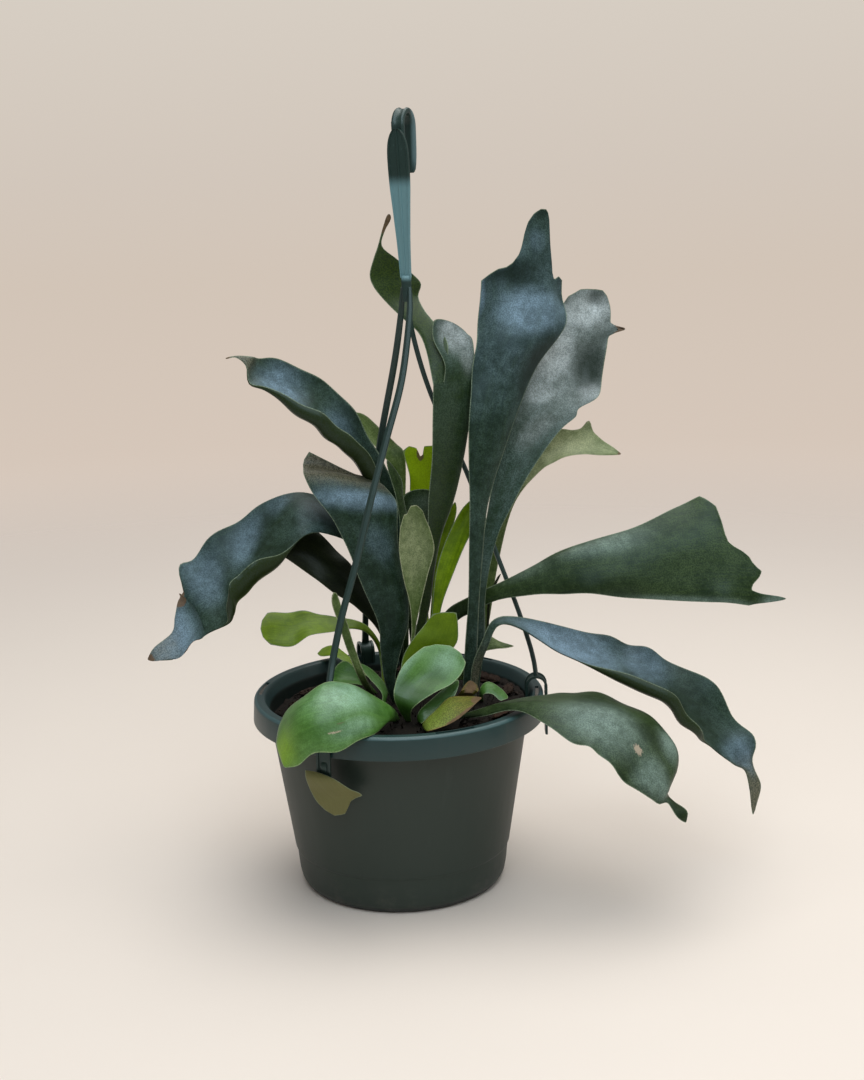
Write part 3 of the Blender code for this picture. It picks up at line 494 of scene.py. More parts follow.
points, faces = turned(outline, MIX_SEGMENTS, heaped)
new_piece("growing_mix_surface", points, faces, mix_finish, "growing_mix", "growing_mix",
          facts={"tone": [(0.3, 0, 0)] * len(points)})
lumps = []
for _ in range(CRUMB_COUNT):
    radius = CRUMB_REACH * math.sqrt(chance.random())
    spot = around(radius, chance.uniform(0, 360))
    length = float(chance.choice(CRUMB_LENGTHS, p=CRUMB_SHARES)) * chance.uniform(0.7, 1.3)
    if radius + length / 2 < CRUMB_REACH:
        spot.z = mix_top(spot) + 0.3 + chance.uniform(0, 0.8)
        lumps.append(crumb(spot, length, length * chance.uniform(0.25, 0.7)))
new_piece("growing_mix_crumbs", *joined(*lumps), mix_finish, "growing_mix", facts={"tone": toned(lumps)})


# --- Bark chips -------------------------------------------------------------------------------
# Broken bits of reddish bark that lie on the mix against the wall. They have ragged ends and
# layers along their length.

CHIP_THICKNESS, CHIP_STATIONS, CHIP_SIDES = 3.0, 15, 16
CHIPS = [  # radius, turn, length, width, skew from lying along the wall
    (80, 125, 24, 8, 8), (80, 101, 17, 7, -12), (81, 150, 18, 6, 5), (80, 60, 15, 6, -15),
    (80, 10, 14, 6, 12), (80, -16, 14, 6, -8), (77, -62, 22, 9, -10), (74, -97, 18, 8, 20),
    (78, -122, 15, 7, -20), (82, 176, 14, 6, 5),
]
bark_finish = soil_finish("bark_finish", (0.008, 0.004, 0.002), (0.036, 0.018, 0.010), (0.12, 0.070, 0.042))


def bark_chip(radius, turn, length, width, skew):
    """A slab of bark on the ground: its outline is ragged and its top is ridged lengthwise."""
    middle = around(radius, turn)
    points, rings = [], []
    wander = chance.normal(0, 0.35, CHIP_STATIONS)
    ragged = chance.normal(0, 0.17, (CHIP_STATIONS, CHIP_SIDES))
    ridges = chance.normal(0, 0.24, CHIP_SIDES)
    for i in range(CHIP_STATIONS):
        x = (i / (CHIP_STATIONS - 1) - 0.5) * 2
        thin = max(0.05, 1 - abs(x) ** 5)
        rings.append([len(points) + k for k in range(CHIP_SIDES)])
        for k in range(CHIP_SIDES):
            angle = math.tau * k / CHIP_SIDES
            swell = 1 + ragged[i, k] + ridges[k]
            y = (0.5 * width * math.cos(angle) * swell + wander[i]) * thin ** 0.5
            end = 0.2 * length * ragged[i, k]
            place = middle - around(y, turn + skew) + around(x * length / 2 + end, turn + skew + 90)
            rise = 0.5 + 0.5 * math.sin(angle) * thin * swell
            place.z = mix_top(place) + 0.2 + (CHIP_THICKNESS + 0.6) * rise
            points.append(place)
    return points, bands(rings) + [rings[0][::-1], rings[-1]]


for k, chip in enumerate(CHIPS):
    points, faces = bark_chip(*chip)
    tone = (chance.uniform(0.3, 1.0), 0, 0)
    new_piece(f"bark_{k + 1}", points, faces, bark_finish, "bark", f"bark_chip_{k + 1}",
              facts={"tone": [tone] * len(points)})


# --- Creeping stem ----------------------------------------------------------------------------
# The short woody stem that all the fronds grow from, a low mound packed with roots and dry
# brown scales.

CROWN_TOP, CROWN_MIDDLE, CROWN_HALF, CROWN_SIDES = 129.7, (17.0, 3.0), (50.0, 70.0), 72
CROWN_EDGE = 1.02  # where the mound's side ends under the mix, as a share of its half sizes
SCALE_COUNT, SCALE_HALF_THICKNESS = 260, 0.22
SCALE_WIDTHS = [(0.0, 0.7), (0.35, 1.0), (0.7, 0.6), (1.0, 0.08)]  # shares of its length and width
stem_finish = soil_finish("stem_finish", (0.004, 0.003, 0.002), (0.010, 0.007, 0.004), (0.05, 0.036, 0.020))


def on_crown(angle, reach, height):
    """A point of the oval mound, this share of the way from its middle to its edge."""
    return Vector((CROWN_MIDDLE[0] + CROWN_HALF[0] * reach * math.cos(angle),
                   CROWN_MIDDLE[1] + CROWN_HALF[1] * reach * math.sin(angle), height))


points, rings = [], []
for share in (0.0, 0.2, 0.4, 0.6, 0.8, 0.9, 0.96, 1.0, CROWN_EDGE):
    count = CROWN_SIDES if share else 1
    rings.append([len(points) + k for k in range(count)])
    for k in range(count):
        angle = math.tau * k / count
        reach = share * (1 + 0.05 * math.sin(3 * angle + 0.7)) + 0.02 * share * chance.normal()
        place = on_crown(angle, reach, CROWN_TOP)
        sunk = mix_top(place) - 1.0
        place.z = sunk + (CROWN_TOP - sunk) * min(1.0, max(0.0, (CROWN_EDGE - share) * 9)) ** 0.6
        place.z += 0.5 * chance.normal()
        points.append(place)
faces = bands(rings) + [rings[-1]]
new_piece("creeping_stem", points, [face[::-1] for face in faces], stem_finish, "rhizome", "rhizome",
          facts={"tone": [(0.5, 0, 0)] * len(points)})

scales = []
for _ in range(SCALE_COUNT):
    angle, reach = chance.uniform(0, math.tau), math.sqrt(chance.uniform(0.05, 1.0))
    foot = on_crown(angle, reach, CROWN_TOP - 1.0)
    out = Vector((math.cos(angle), math.sin(angle), chance.uniform(0.2, 1.6))).normalized()
    across = out.cross(Vector((0, 0, 1))).normalized()
    length, width = chance.uniform(3.0, 8.0), chance.uniform(0.8, 2.0)
    lift = out.cross(across) * chance.uniform(-1.0, 1.0)
    thick = out.cross(across) * SCALE_HALF_THICKNESS
    scale = []
    for share, wide in SCALE_WIDTHS:
        spine = foot + out * length * share + lift * share ** 2 * 2
        scale += [spine - across * width * wide / 2, spine + thick, spine + across * width * wide / 2,
                  spine - thick]
    faces = bands([range(4 * j, 4 * j + 4) for j in range(len(SCALE_WIDTHS))])
    faces += [[3, 2, 1, 0], [12, 13, 14, 15]]
    scales.append((scale, faces))
new_piece("stem_scales", *joined(*scales), stem_finish, "rhizome", facts={"tone": toned(scales)})


# --- Hanger -----------------------------------------------------------------------------------
# One green plastic moulding: a flat strap with a round top that stands on a neck, a curl behind
# it that goes over a rod, and three thin strands that end in clips bent over the basket's rim.

HOOK_TURN, HOOK_FOOT, HOOK_TOP, STRAP_TOP = 157.0, (12.5, 0.0, 425.0), 537.0, 523.0
HOOK_LEAN, HOOK_ASIDE = 0.055, -0.020  # forward and to the left, as shares of the rise
CURL_RADIUS, CURL_BEHIND, CURL_HALF_DEPTH, CURL_STEPS = 10.3, 13.5, 2.2, 12
STRAND_WIDTH, STRAND_DEPTH, CLIP_STEPS, BAR_SIDES = 4.8, 3.3, 16, 20
CLIP_TURNS = {"front": -29.0, "right": 88.0, "back": 194.5}
CLIP_WIDTH, CLIP_THICKNESS, CLIP_TOP = 10.6, 1.8, 147.5
CLIP_INNER_RADIUS, CLIP_OUTER_RADIUS, CLIP_INNER_FOOT, CLIP_OUTER_FOOT = 90.2, 104.0, 132.0, 104.0
# The strap's pale front and the curl's pale side are painted highlights.
STRAP_HIGHLIGHT_FROM, STRAP_HIGHLIGHT_TO = (0.423, 0.427), (0.484, 0.494)  # where the strap's pale front fades in and out, metres
CURL_SIDE, CURL_FOOT = (0.0175, 0.0195), (0.492, 0.506)  # where the curl's pale side begins, metres


def squarish(share):
    """Turns an ellipse into a bar with rounded corners."""
    return math.copysign(abs(share) ** 0.55, share)


# Sections of the moulding: places across and out from its middle, as shares of its half sizes
BAR_TURNS = [math.tau * (k + 0.5) / BAR_SIDES for k in range(BAR_SIDES)]
BAR = [(squarish(math.cos(turn)), squarish(math.sin(turn))) for turn in BAR_TURNS]
HOLLOW_BAR = [(across, out * (0.55 if abs(across) < 0.5 and out > 0 else 1)) for across, out in BAR]
RIBBED_STRAP = [(-1.0, 0.55), (-0.97, 1.0), (-0.80, 1.0), (-0.74, 0.45), (-0.14, 0.35), (-0.09, 0.8),
                (0.09, 0.8), (0.14, 0.35), (0.74, 0.45), (0.80, 1.0), (0.97, 1.0), (1.0, 0.55),
                (1.0, -0.8), (0.92, -1.0), (-0.92, -1.0), (-1.0, -0.8)]
RIDGED_STRAND = [(-1.0, -0.2), (-0.92, 0.35), (-0.45, 0.62), (-0.16, 0.98), (0.16, 0.98), (0.45, 0.62),
                 (0.92, 0.35), (1.0, -0.2), (0.85, -0.85), (0.4, -1.0), (-0.4, -1.0), (-0.85, -0.85)]
FLANGED_CLIP = [(-1.0, 0.2), (-1.0, 1.0), (-0.72, 1.0), (-0.66, 0.1), (0.66, 0.1), (0.72, 1.0), (1.0, 1.0),
                (1.0, 0.2), (0.94, -1.0), (-0.94, -1.0)]

hanger_finish, shader, place = new_finish("hanger_finish", Specular_IOR_Level=0.45,
                                          Specular_Tint=(0.8, 0.95, 1.0))
cloudy = place.noise(35.0, 3.0)
wear = place.noise(420.0, 3.0, 0.7)
height = place.axis("Z")
aside = place.axis("X")
# Painted highlight: the strap's front is painted paler between two heights, where the light falls on it.
strap_painted_highlight = height.between(*STRAP_HIGHLIGHT_FROM) * (1.0 - height.between(*STRAP_HIGHLIGHT_TO))
colour = cloudy.mix((0.012, 0.028, 0.022), (0.020, 0.042, 0.035))
colour = (0.9 * strap_painted_highlight).mix(colour, (0.150, 0.285, 0.310))
# Painted highlight: the curl's right side near its top is painted paler, where the light falls on it.
curl = aside.between(*CURL_SIDE) * height.between(*CURL_FOOT)
colour = (0.8 * curl).mix(colour, (0.110, 0.180, 0.190))
feed(shader.inputs["Base Color"], (wear.between(0.6, 0.8) * 0.3).mix(colour, (0.10, 0.17, 0.17)))
feed(shader.inputs["Roughness"], 0.28 + 0.18 * wear)
feed(shader.inputs["Normal"], wear.bump(0.15, 0.0002))


def spline(rows, t):
    """A smooth curve through the rows, read at row numbers t."""
    rows = np.asarray(rows, float)
    t = np.asarray(t, float)
    last = len(rows) - 1
    k = np.clip(np.floor(t).astype(int), 0, last - 1)
    f = (t - k)[..., None]
    before, start, end, after = (rows[np.clip(k + j, 0, last)] for j in (-1, 0, 1, 2))
    return 0.5 * (2 * start + (end - before) * f
                  + (2 * before - 5 * start + 4 * end - after) * f ** 2
                  + (3 * start - before - 3 * end + after) * f ** 3)


def swept(path, sizes, outward, section, steps=1):
    """Points and faces of a section swept along a path. Sizes are widths and depths."""
    rows = np.array([(*point, *size, *out) for point, size, out in zip(path, sizes, outward)], float)
    rows = spline(rows, np.linspace(0, len(rows) - 1, steps * (len(rows) - 1) + 1))
    points, rings = [], []
    for k, row in enumerate(rows):
        here = Vector(row[:3])
        along = Vector(rows[min(k + 1, len(rows) - 1)][:3]) - Vector(rows[max(k - 1, 0)][:3])
        along.normalize()
        out = Vector(row[5:8])
        out = (out - along * out.dot(along)).normalized()
        across = along.cross(out)
        rings.append([len(points) + j for j in range(len(section))])
        points += [here + across * a * row[3] / 2 + out * b * row[4] / 2 for a, b in section]
    return points, bands(rings) + [rings[0][::-1], rings[-1]]


def leaning(back, height):
    """A point of the hook, this far behind the middle of its strap at a height."""
    foot_x, foot_y, foot_height = HOOK_FOOT
    back -= HOOK_LEAN * (min(height, STRAP_TOP) - foot_height)
    aside = Vector((HOOK_ASIDE * (height - foot_height), 0, 0))
    return Vector((foot_x, foot_y, height)) + around(back, HOOK_TURN) + aside


def over(angle, toward):
    """Which way is out on an arch that starts on the side away from toward."""
    return Vector((0, 0, 1)) * math.sin(angle) - toward * math.cos(angle)


back = around(1, HOOK_TURN)
strap = [  # height, width
    (426, 7.4), (438, 8.2), (450, 9.2), (462, 10.8), (475, 12.6), (484, 14.0), (492, 14.7), (500, 15.0),
    (506, 14.9), (511, 14.2), (515, 12.8), (518.5, 10.4), (521, 7.6), (522.6, 4.4), (STRAP_TOP, 1.4),
]
strap_shape = swept([leaning(0, height) for height, _ in strap], [(width, 2.4) for _, width in strap],
                    [-back] * len(strap), RIBBED_STRAP, 3)
path = [leaning(2.2, 432), leaning(2.6, 462), leaning(2.9, 482), leaning(CURL_BEHIND - CURL_RADIUS, 500)]
sizes = [(3.0, 2.6), (6.0, 3.6), (7.6, 4.0), (8.6, 4.4)]
outward = [-back] * 4
for k in range(CURL_STEPS + 1):
    angle = math.pi * k / CURL_STEPS
    path.append(leaning(CURL_BEHIND - CURL_RADIUS * math.cos(angle),
                        HOOK_TOP - CURL_RADIUS - CURL_HALF_DEPTH + CURL_RADIUS * math.sin(angle)))
    sizes.append((9.0 - 0.08 * k, 2 * CURL_HALF_DEPTH))
    outward.append(over(angle, back))
path += [leaning(CURL_BEHIND + CURL_RADIUS - 0.4, 514), leaning(CURL_BEHIND + CURL_RADIUS - 0.8, 505),
         leaning(CURL_BEHIND + CURL_RADIUS - 1.4, 497), leaning(CURL_BEHIND + CURL_RADIUS - 1.6, 494.5)]
sizes += [(7.8, 4.3), (7.2, 4.0), (5.8, 2.8), (2.8, 1.2)]
outward += [back] * 4
curl_shape = swept(path, sizes, outward, HOLLOW_BAR, 2)
neck_path = [Vector((12.6, 0.3, height)) for height in (410.0, 412, 418, 424.8, 427.5)]
neck_shape = swept(neck_path, [(5.0, 4.4), (6.0, 5.4), (6.4, 6.0), (6.8, 6.0), (6.8, 4.4)],
                   [Vector((0, -1, 0))] * 5, BAR, 2)
new_piece("hanger_hook_strap", *joined(strap_shape, curl_shape, neck_shape), hanger_finish,
          "hanger_plastic", "hanger_hook")

routes = {  # the middle of each strand, from the neck down to its clip
    "front": [(14.6, -1.8, 419.7), (13.8, -8, 400), (7.6, -20, 360), (-4, -32, 321), (-15.5, -43.5, 282),
              (-27, -55, 240), (-36.5, -63.5, 209), (-43, -71, 182), (-46, -79, 164)],
    "right": [(14.4, 2.2, 419.7), (15.6, 7, 391), (28, 13, 345), (51.5, 15, 290), (71, 12.5, 233),
              (84, 7, 197), (92, 1.5, 172), (95.5, -2, 158)],
    "back": [(10.2, 0.8, 419.7), (8, 9, 398), (3, 20.5, 366), (-9, 42.5, 305), (-18, 66, 240),
             (-22.5, 82, 184), (-24, 90, 160)],
}
crest = (CLIP_INNER_RADIUS + CLIP_OUTER_RADIUS) / 2
half = (CLIP_OUTER_RADIUS - CLIP_INNER_RADIUS) / 2
spring = CLIP_TOP - CLIP_THICKNESS / 2 - half
for which, route in routes.items():
    turn = CLIP_TURNS[which]
    facing = around(1, turn)
    route = route + [tuple(around(crest, turn, CLIP_TOP - 0.7))]
    sizes = [(0.62 * STRAND_WIDTH, 0.7 * STRAND_DEPTH), (0.9 * STRAND_WIDTH, STRAND_DEPTH)]
    sizes += [(STRAND_WIDTH, STRAND_DEPTH)] * (len(route) - 3) + [(1.2 * STRAND_WIDTH, STRAND_DEPTH)]
    strand = swept(route, sizes, [facing] * len(route), RIDGED_STRAND, 8)
    path = [around(CLIP_INNER_RADIUS, turn, CLIP_INNER_FOOT)]
    outward = [-facing]
    for k in range(CLIP_STEPS + 1):
        angle = math.pi * k / CLIP_STEPS
        path.append(around(crest - half * math.cos(angle), turn, spring + half * math.sin(angle)))
        outward.append(over(angle, facing))
    path += [around(CLIP_OUTER_RADIUS, turn, height)
             for height in (130, 120, CLIP_OUTER_FOOT + 1, CLIP_OUTER_FOOT)]
    outward += [facing] * 4
    sizes = [(CLIP_WIDTH, CLIP_THICKNESS)] * (len(path) - 1) + [(CLIP_WIDTH - 1.6, CLIP_THICKNESS - 0.5)]
    clip = swept(path, sizes, outward, FLANGED_CLIP)
    barb = swept([around(CLIP_OUTER_RADIUS - 0.3, turn, height) for height in (118.5, 116.5, 113.0, 110.0)],
                 [(4.0, 1.0), (5.0, 3.4), (4.6, 2.2), (3.0, 1.0)], [-facing] * 4, BAR)
    new_piece(f"strand_{which}_and_clip", *joined(strand, clip, barb), hanger_finish, "hanger_plastic",
              f"hanger_strand_{which}")


# --- Upright fronds -------------------------------------------------------------------------
# Three tall leathery blades on stalks, at the back right. The front one is blue-green and ends in a
# finger, the next is covered in silvery hairs, and a pale young one arches away behind them.

SEAT, STALK_THICKNESS, BLADE_THICKNESS, STALK_SHARE = 130.0, 2.8, 1.0, 0.35
ROUND_TIP = 0.8  # how many rows short the margins of a plain round tip end
TRUNK_SHARE, ARM_COLUMNS = 0.65, (13, 19)  # a forked frond: its trunk's share of its length
ROLL_START = 0.8  # how far across a blade a rolled margin starts
MARGIN_BAND = 1.2  # how near its edge a blade begins to thin
FINE_STEPS = 20  # steps to a row where lengths along a blade are measured
NO_RUFFLE = (0, 30, 0.3, 0)


def shortfalls(tip, across):
    """How many rows short of the last one a blade ends at each place across it."""
    if tip is None:
        return ROUND_TIP * (1 - np.sqrt(np.clip(1 - across ** 2, 0, 1)))
    places, rows = zip(*tip)
    fine = np.linspace(-1.1, 1.1, 1101)
    softening = np.exp(-(np.arange(-20, 21) / 7.0) ** 2)
    eased = np.convolve(np.interp(fine, places, rows), softening / softening.sum(), "same")
    return np.interp(across, fine, eased)


def margin_columns(tip, count):
    """Places across a blade from -1 to 1, closer at its margins and where its tip is steep."""
    places = set(np.sin(np.linspace(-math.pi / 2, math.pi / 2, count)))
    for low, high in zip(tip or (), (tip or ())[1:]):
        places.update(np.linspace(low[0], high[0], 3 + int(9 * abs(high[1] - low[1]))))
    kept = [-1.0]
    for place in sorted(places):
        if place - kept[-1] > 0.004:
            kept.append(place)
    return np.array(kept)


def ruffled(ruffle, along, share, v, width):
    """How far a blade's ruffles lift each point of it. The two margins wave apart."""
    height, wave, start, phase = ruffle
    swell = np.clip((share - start) / 0.25, 0, 1) * np.clip(width / 22 - 0.15, 0, 1)
    turn = math.tau * along / wave
    ripple = np.sin(turn + phase + 1.9 * np.sin(0.37 * turn + phase)) * (v > 0)
    ripple += np.sin(1.13 * turn + 2.4 * phase + 1.3 + 1.6 * np.sin(0.41 * turn + 2 * phase)) * (v <= 0)
    gentle = 0.35 * np.sin(0.53 * turn + 3 * v + phase)
    return height * swell * (ripple * np.abs(v) ** 2.6 + gentle * (1 - v ** 2))


def blade_grid(rows, across, tip, step, ruffle, nicks=(), bulges=(), rolls=(), ends=True):
    """Points of a blade as a grid, with what its finish needs to know of each.

    That is how far it is across and along the blade and from its edge, in millimetres, then its
    share of the blade's length and its place across, from -1 to 1.
    """
    rows = np.array(rows, float)
    last = len(rows) - 1
    fine = np.linspace(0, last, FINE_STEPS * last + 1)
    spine = spline((rows[:, :3] + rows[:, 3:6]) / 2, fine)
    lengths = np.concatenate([[0], np.cumsum(np.linalg.norm(np.diff(spine, axis=0), axis=1))])
    count = max(8, int(lengths[-1] / step))
    k = np.interp(np.linspace(0, lengths[-1], count + 1), lengths, fine)[:, None]
    short = shortfalls(tip, across)[None, :] if ends else np.zeros((1, len(across)))
    t = k - short * np.clip((k - last + 3) / 3, 0, None) ** 1.2
    along = np.interp(t, fine, lengths)
    share = along / lengths[-1]
    v = np.broadcast_to(across[None, :], t.shape).copy()
    curls, margin = [], 0.0
    for edge, middle, reach, strip, bend in rolls:
        turned_over = np.clip((edge * v - ROLL_START) / (1 - ROLL_START), 0, 1)
        length = strip * np.exp(-((share - middle) / reach) ** 4)
        curls.append((edge, turned_over * length, length / math.radians(bend)))
        margin = np.maximum(margin, length * np.where(turned_over > 0, 1 - turned_over, 0))
        v = np.where(edge * v > 0, np.clip(v / ROLL_START, -1, 1), v)
    for edge, middle, reach, depth in nicks:
        pull = depth * np.exp(-((share - middle) / reach) ** 2) * np.clip(edge * v, 0, None) ** 2
        v -= edge * pull
    here = spline(rows, t)
    left, right, bow = here[..., :3], here[..., 3:6], here[..., 6:]
    ahead = spline(rows, np.minimum(t + 0.06, last)) - spline(rows, np.maximum(t - 0.06, 0))
    upper = np.cross(right - left, ahead[..., :3] + ahead[..., 3:6])
    upper /= np.maximum(np.linalg.norm(upper, axis=-1, keepdims=True), 1e-9)
    width = np.linalg.norm(right - left, axis=-1)
    place = v[..., None]
    points = (left + right) / 2 + (right - left) * place / 2 + upper * bow * (1 - place ** 2)
    lift = ruffled(ruffle, along, share, v, width)
    for middle, across_it, reach, reach_v, rise in bulges:
        lift += rise * np.exp(-((share - middle) / reach) ** 2 - ((v - across_it) / reach_v) ** 2)
    points += upper * lift[..., None]
    outward = (right - left) / np.maximum(width, 1e-6)[..., None]
    for edge, arc, radius in curls:
        radius = np.maximum(radius, 1e-6)
        points += outward * (edge * radius * np.sin(arc / radius))[..., None]
        points += upper * (radius * (1 - np.cos(arc / radius)))[..., None]
    edge = np.maximum((1 - np.abs(across))[None, :] * width / 2, margin)
    if ends:
        gap = np.linalg.norm(np.diff(points, axis=0), axis=-1)
        to_tip = np.flip(np.cumsum(np.flip(gap, 0), axis=0), 0)
        edge = np.minimum(edge, np.concatenate([to_tip, np.zeros((1, len(across)))]))
    facts = np.stack([v * width / 2, along, edge, share, np.broadcast_to(across[None, :], t.shape)], -1)
    return points, facts


def grid_faces(count, across):
    """Faces between the points of a grid, as point numbers."""
    face = np.arange(count - 1)[:, None] * across + np.arange(across - 1)[None, :]
    face = face.ravel()
    return np.stack([face, face + 1, face + across + 1, face + across], -1)


def welded(points, facts, faces):
    """The same sheet with the points that lie on each other made one."""
    _, first, where = np.unique(np.round(points, 3), axis=0, return_index=True, return_inverse=True)
    faces = where.ravel()[faces]
    kept = []
    for face in faces.tolist():
        face = list(dict.fromkeys(face))
        if len(face) > 2:
            kept.append(face)
    return points[first], facts[first], kept


def shown(spots, facts):
    """How strongly some spots show at each point of a blade, 0 to 1."""
    strengths = np.zeros(len(facts))
    for share, v, reach, reach_v, strength in spots:
        far = ((facts[:, 3] - share) / reach) ** 2 + ((facts[:, 4] - v) / reach_v) ** 2
        strengths = np.maximum(strengths, strength * np.exp(-far ** 1.5))
    return strengths


def thickened(points, facts, faces, stalk, seated):
    """The two sides of a sheet and the faces of the solid between them."""
    sheet = bpy.data.meshes.new("sheet")
    sheet.from_pydata(points.tolist(), [], faces)
    normals = np.empty(len(points) * 3)
    sheet.vertex_normals.foreach_get("vector", normals)
    normals = normals.reshape(-1, 3)
    bpy.data.meshes.remove(sheet)
    share, v = facts[:, 3], facts[:, 4]
    blade = np.clip(share / STALK_SHARE, 0, 1)
    depth = stalk + (BLADE_THICKNESS - stalk) * blade
    shape = (1 - blade) * np.sqrt(np.clip(1 - v ** 2, 0.04, 1)) + blade * (1 - 0.6 * np.abs(v) ** 5)
    depth = (depth * shape * np.clip(facts[:, 2] / MARGIN_BAND, 0.35, 1))[:, None]
    upper, lower = points + normals * depth / 2, points - normals * depth / 2
    if seated:
        foot = (points[:, 2] < SEAT + 0.02) & (share < 0.15)
        upper[foot, 2] = lower[foot, 2] = SEAT
    open_edges = {}
    for face in faces:
        for a, b in zip(face, face[1:] + face[:1]):
            if (b, a) in open_edges:
                del open_edges[b, a]
            else:
                open_edges[a, b] = True
    count = len(points)
    solid = list(faces) + [[count + k for k in reversed(face)] for face in faces]
    solid += [[b, a, count + a, count + b] for a, b in open_edges]
    return upper, lower, solid


def frond(name, finish, slot, rows, tip=None, columns=25, step=2.6, ruffle=NO_RUFFLE, nicks=(), bulges=(),
          rolls=(), stalk=STALK_THICKNESS, seated=True, silver_hair_and_sheen=(), brown=(), scar=(), patch=(), dark=(),
          fork=None, left_arm=(), right_arm=()):
    """One frond, in place of its CAD node.

    Rows run from its root to its tip: a point of the left margin, a point of the right margin, and
    how far the blade bows to its upper face between them. Columns and step say how fine the mesh is.
    A seated frond's foot is flat on the stem. A fork is the share of the last row that goes on as
    the left arm, and both arms have rows of their own.

    A tip says, for places across the blade from -1 to 1, how many rows short of the last one it ends
    there. A ruffle is a height, a wave's length, the share of the blade's length where it starts,
    and a phase. A nick is a side, a share of the length, a reach and a depth. A bulge is a share, a
    place across, a reach each way and a rise. A roll is a side, a share, a reach, the width of the
    strip that rolls and how many degrees it turns.

    Spots of silvery hairs, which also paint a sheen, brown tissue, scars, the finish's patch colour and
    dark spots of painted shade are each a share, a place across, a reach each way and a strength. On a left
    arm the shares run from 1.65 to 2.
    """
    grids = []
    if fork is None:
        across = margin_columns(tip, columns)
        grids.append((*blade_grid(rows, across, tip, step, ruffle, nicks, bulges, rolls), 0.0, 1.0))
    else:
        left, right = np.array(rows[-1][:3], float), np.array(rows[-1][3:6], float)
        split = left + (right - left) * fork
        parting = 2 * fork - 1
        one, two = (margin_columns(None, count) for count in ARM_COLUMNS)
        across = np.concatenate([-1 + (one + 1) / 2 * (1 + parting),
                                 parting + (two[1:] + 1) / 2 * (1 - parting)])
        grids.append((*blade_grid(rows, across, None, step, ruffle, nicks, bulges, ends=False),
                      0.0, TRUNK_SHARE))
        arms = ((left_arm, one, left, split, 1 + TRUNK_SHARE), (right_arm, two, split, right, TRUNK_SHARE))
        for arm, places, a, b, start in arms:
            arm_rows = [(*a, *b, 0)] + list(arm)
            grids.append((*blade_grid(arm_rows, places, None, step, NO_RUFFLE), start, 1 - TRUNK_SHARE))
    points, facts, faces, first = [], [], [], 0
    for grid, grid_facts, start, span in grids:
        grid_facts[..., 3] = start + span * grid_facts[..., 3]
        faces.append(grid_faces(*grid.shape[:2]) + first)
        points.append(grid.reshape(-1, 3))
        facts.append(grid_facts.reshape(-1, grid_facts.shape[-1]))
        first += grid.shape[0] * grid.shape[1]
    points, facts, faces = welded(np.concatenate(points), np.concatenate(facts), np.concatenate(faces))
    upper, lower, solid = thickened(points, facts, faces, stalk, seated)
    across, along, edge = facts[:, 0], facts[:, 1], facts[:, 2]
    sides = np.concatenate([np.stack([across, along, np.full(len(points), side)], -1)
                            for side in (1, -1)])
    marks = np.stack([edge, shown(brown, facts), shown(scar, facts)], -1)
    # The tone fact holds the silvery spots, which are hairs and a painted sheen, the patch colour, and the
    # dark spots of painted shade.
    tone = np.stack([shown(silver_hair_and_sheen, facts), shown(patch, facts), shown(dark, facts)], -1)
    new_piece(name + "_blade", np.concatenate([upper, lower]).tolist(), solid, finish, slot, name,
              facts={"blade": sides, "marks": np.tile(marks, (2, 1)), "tone": np.tile(tone, (2, 1))})


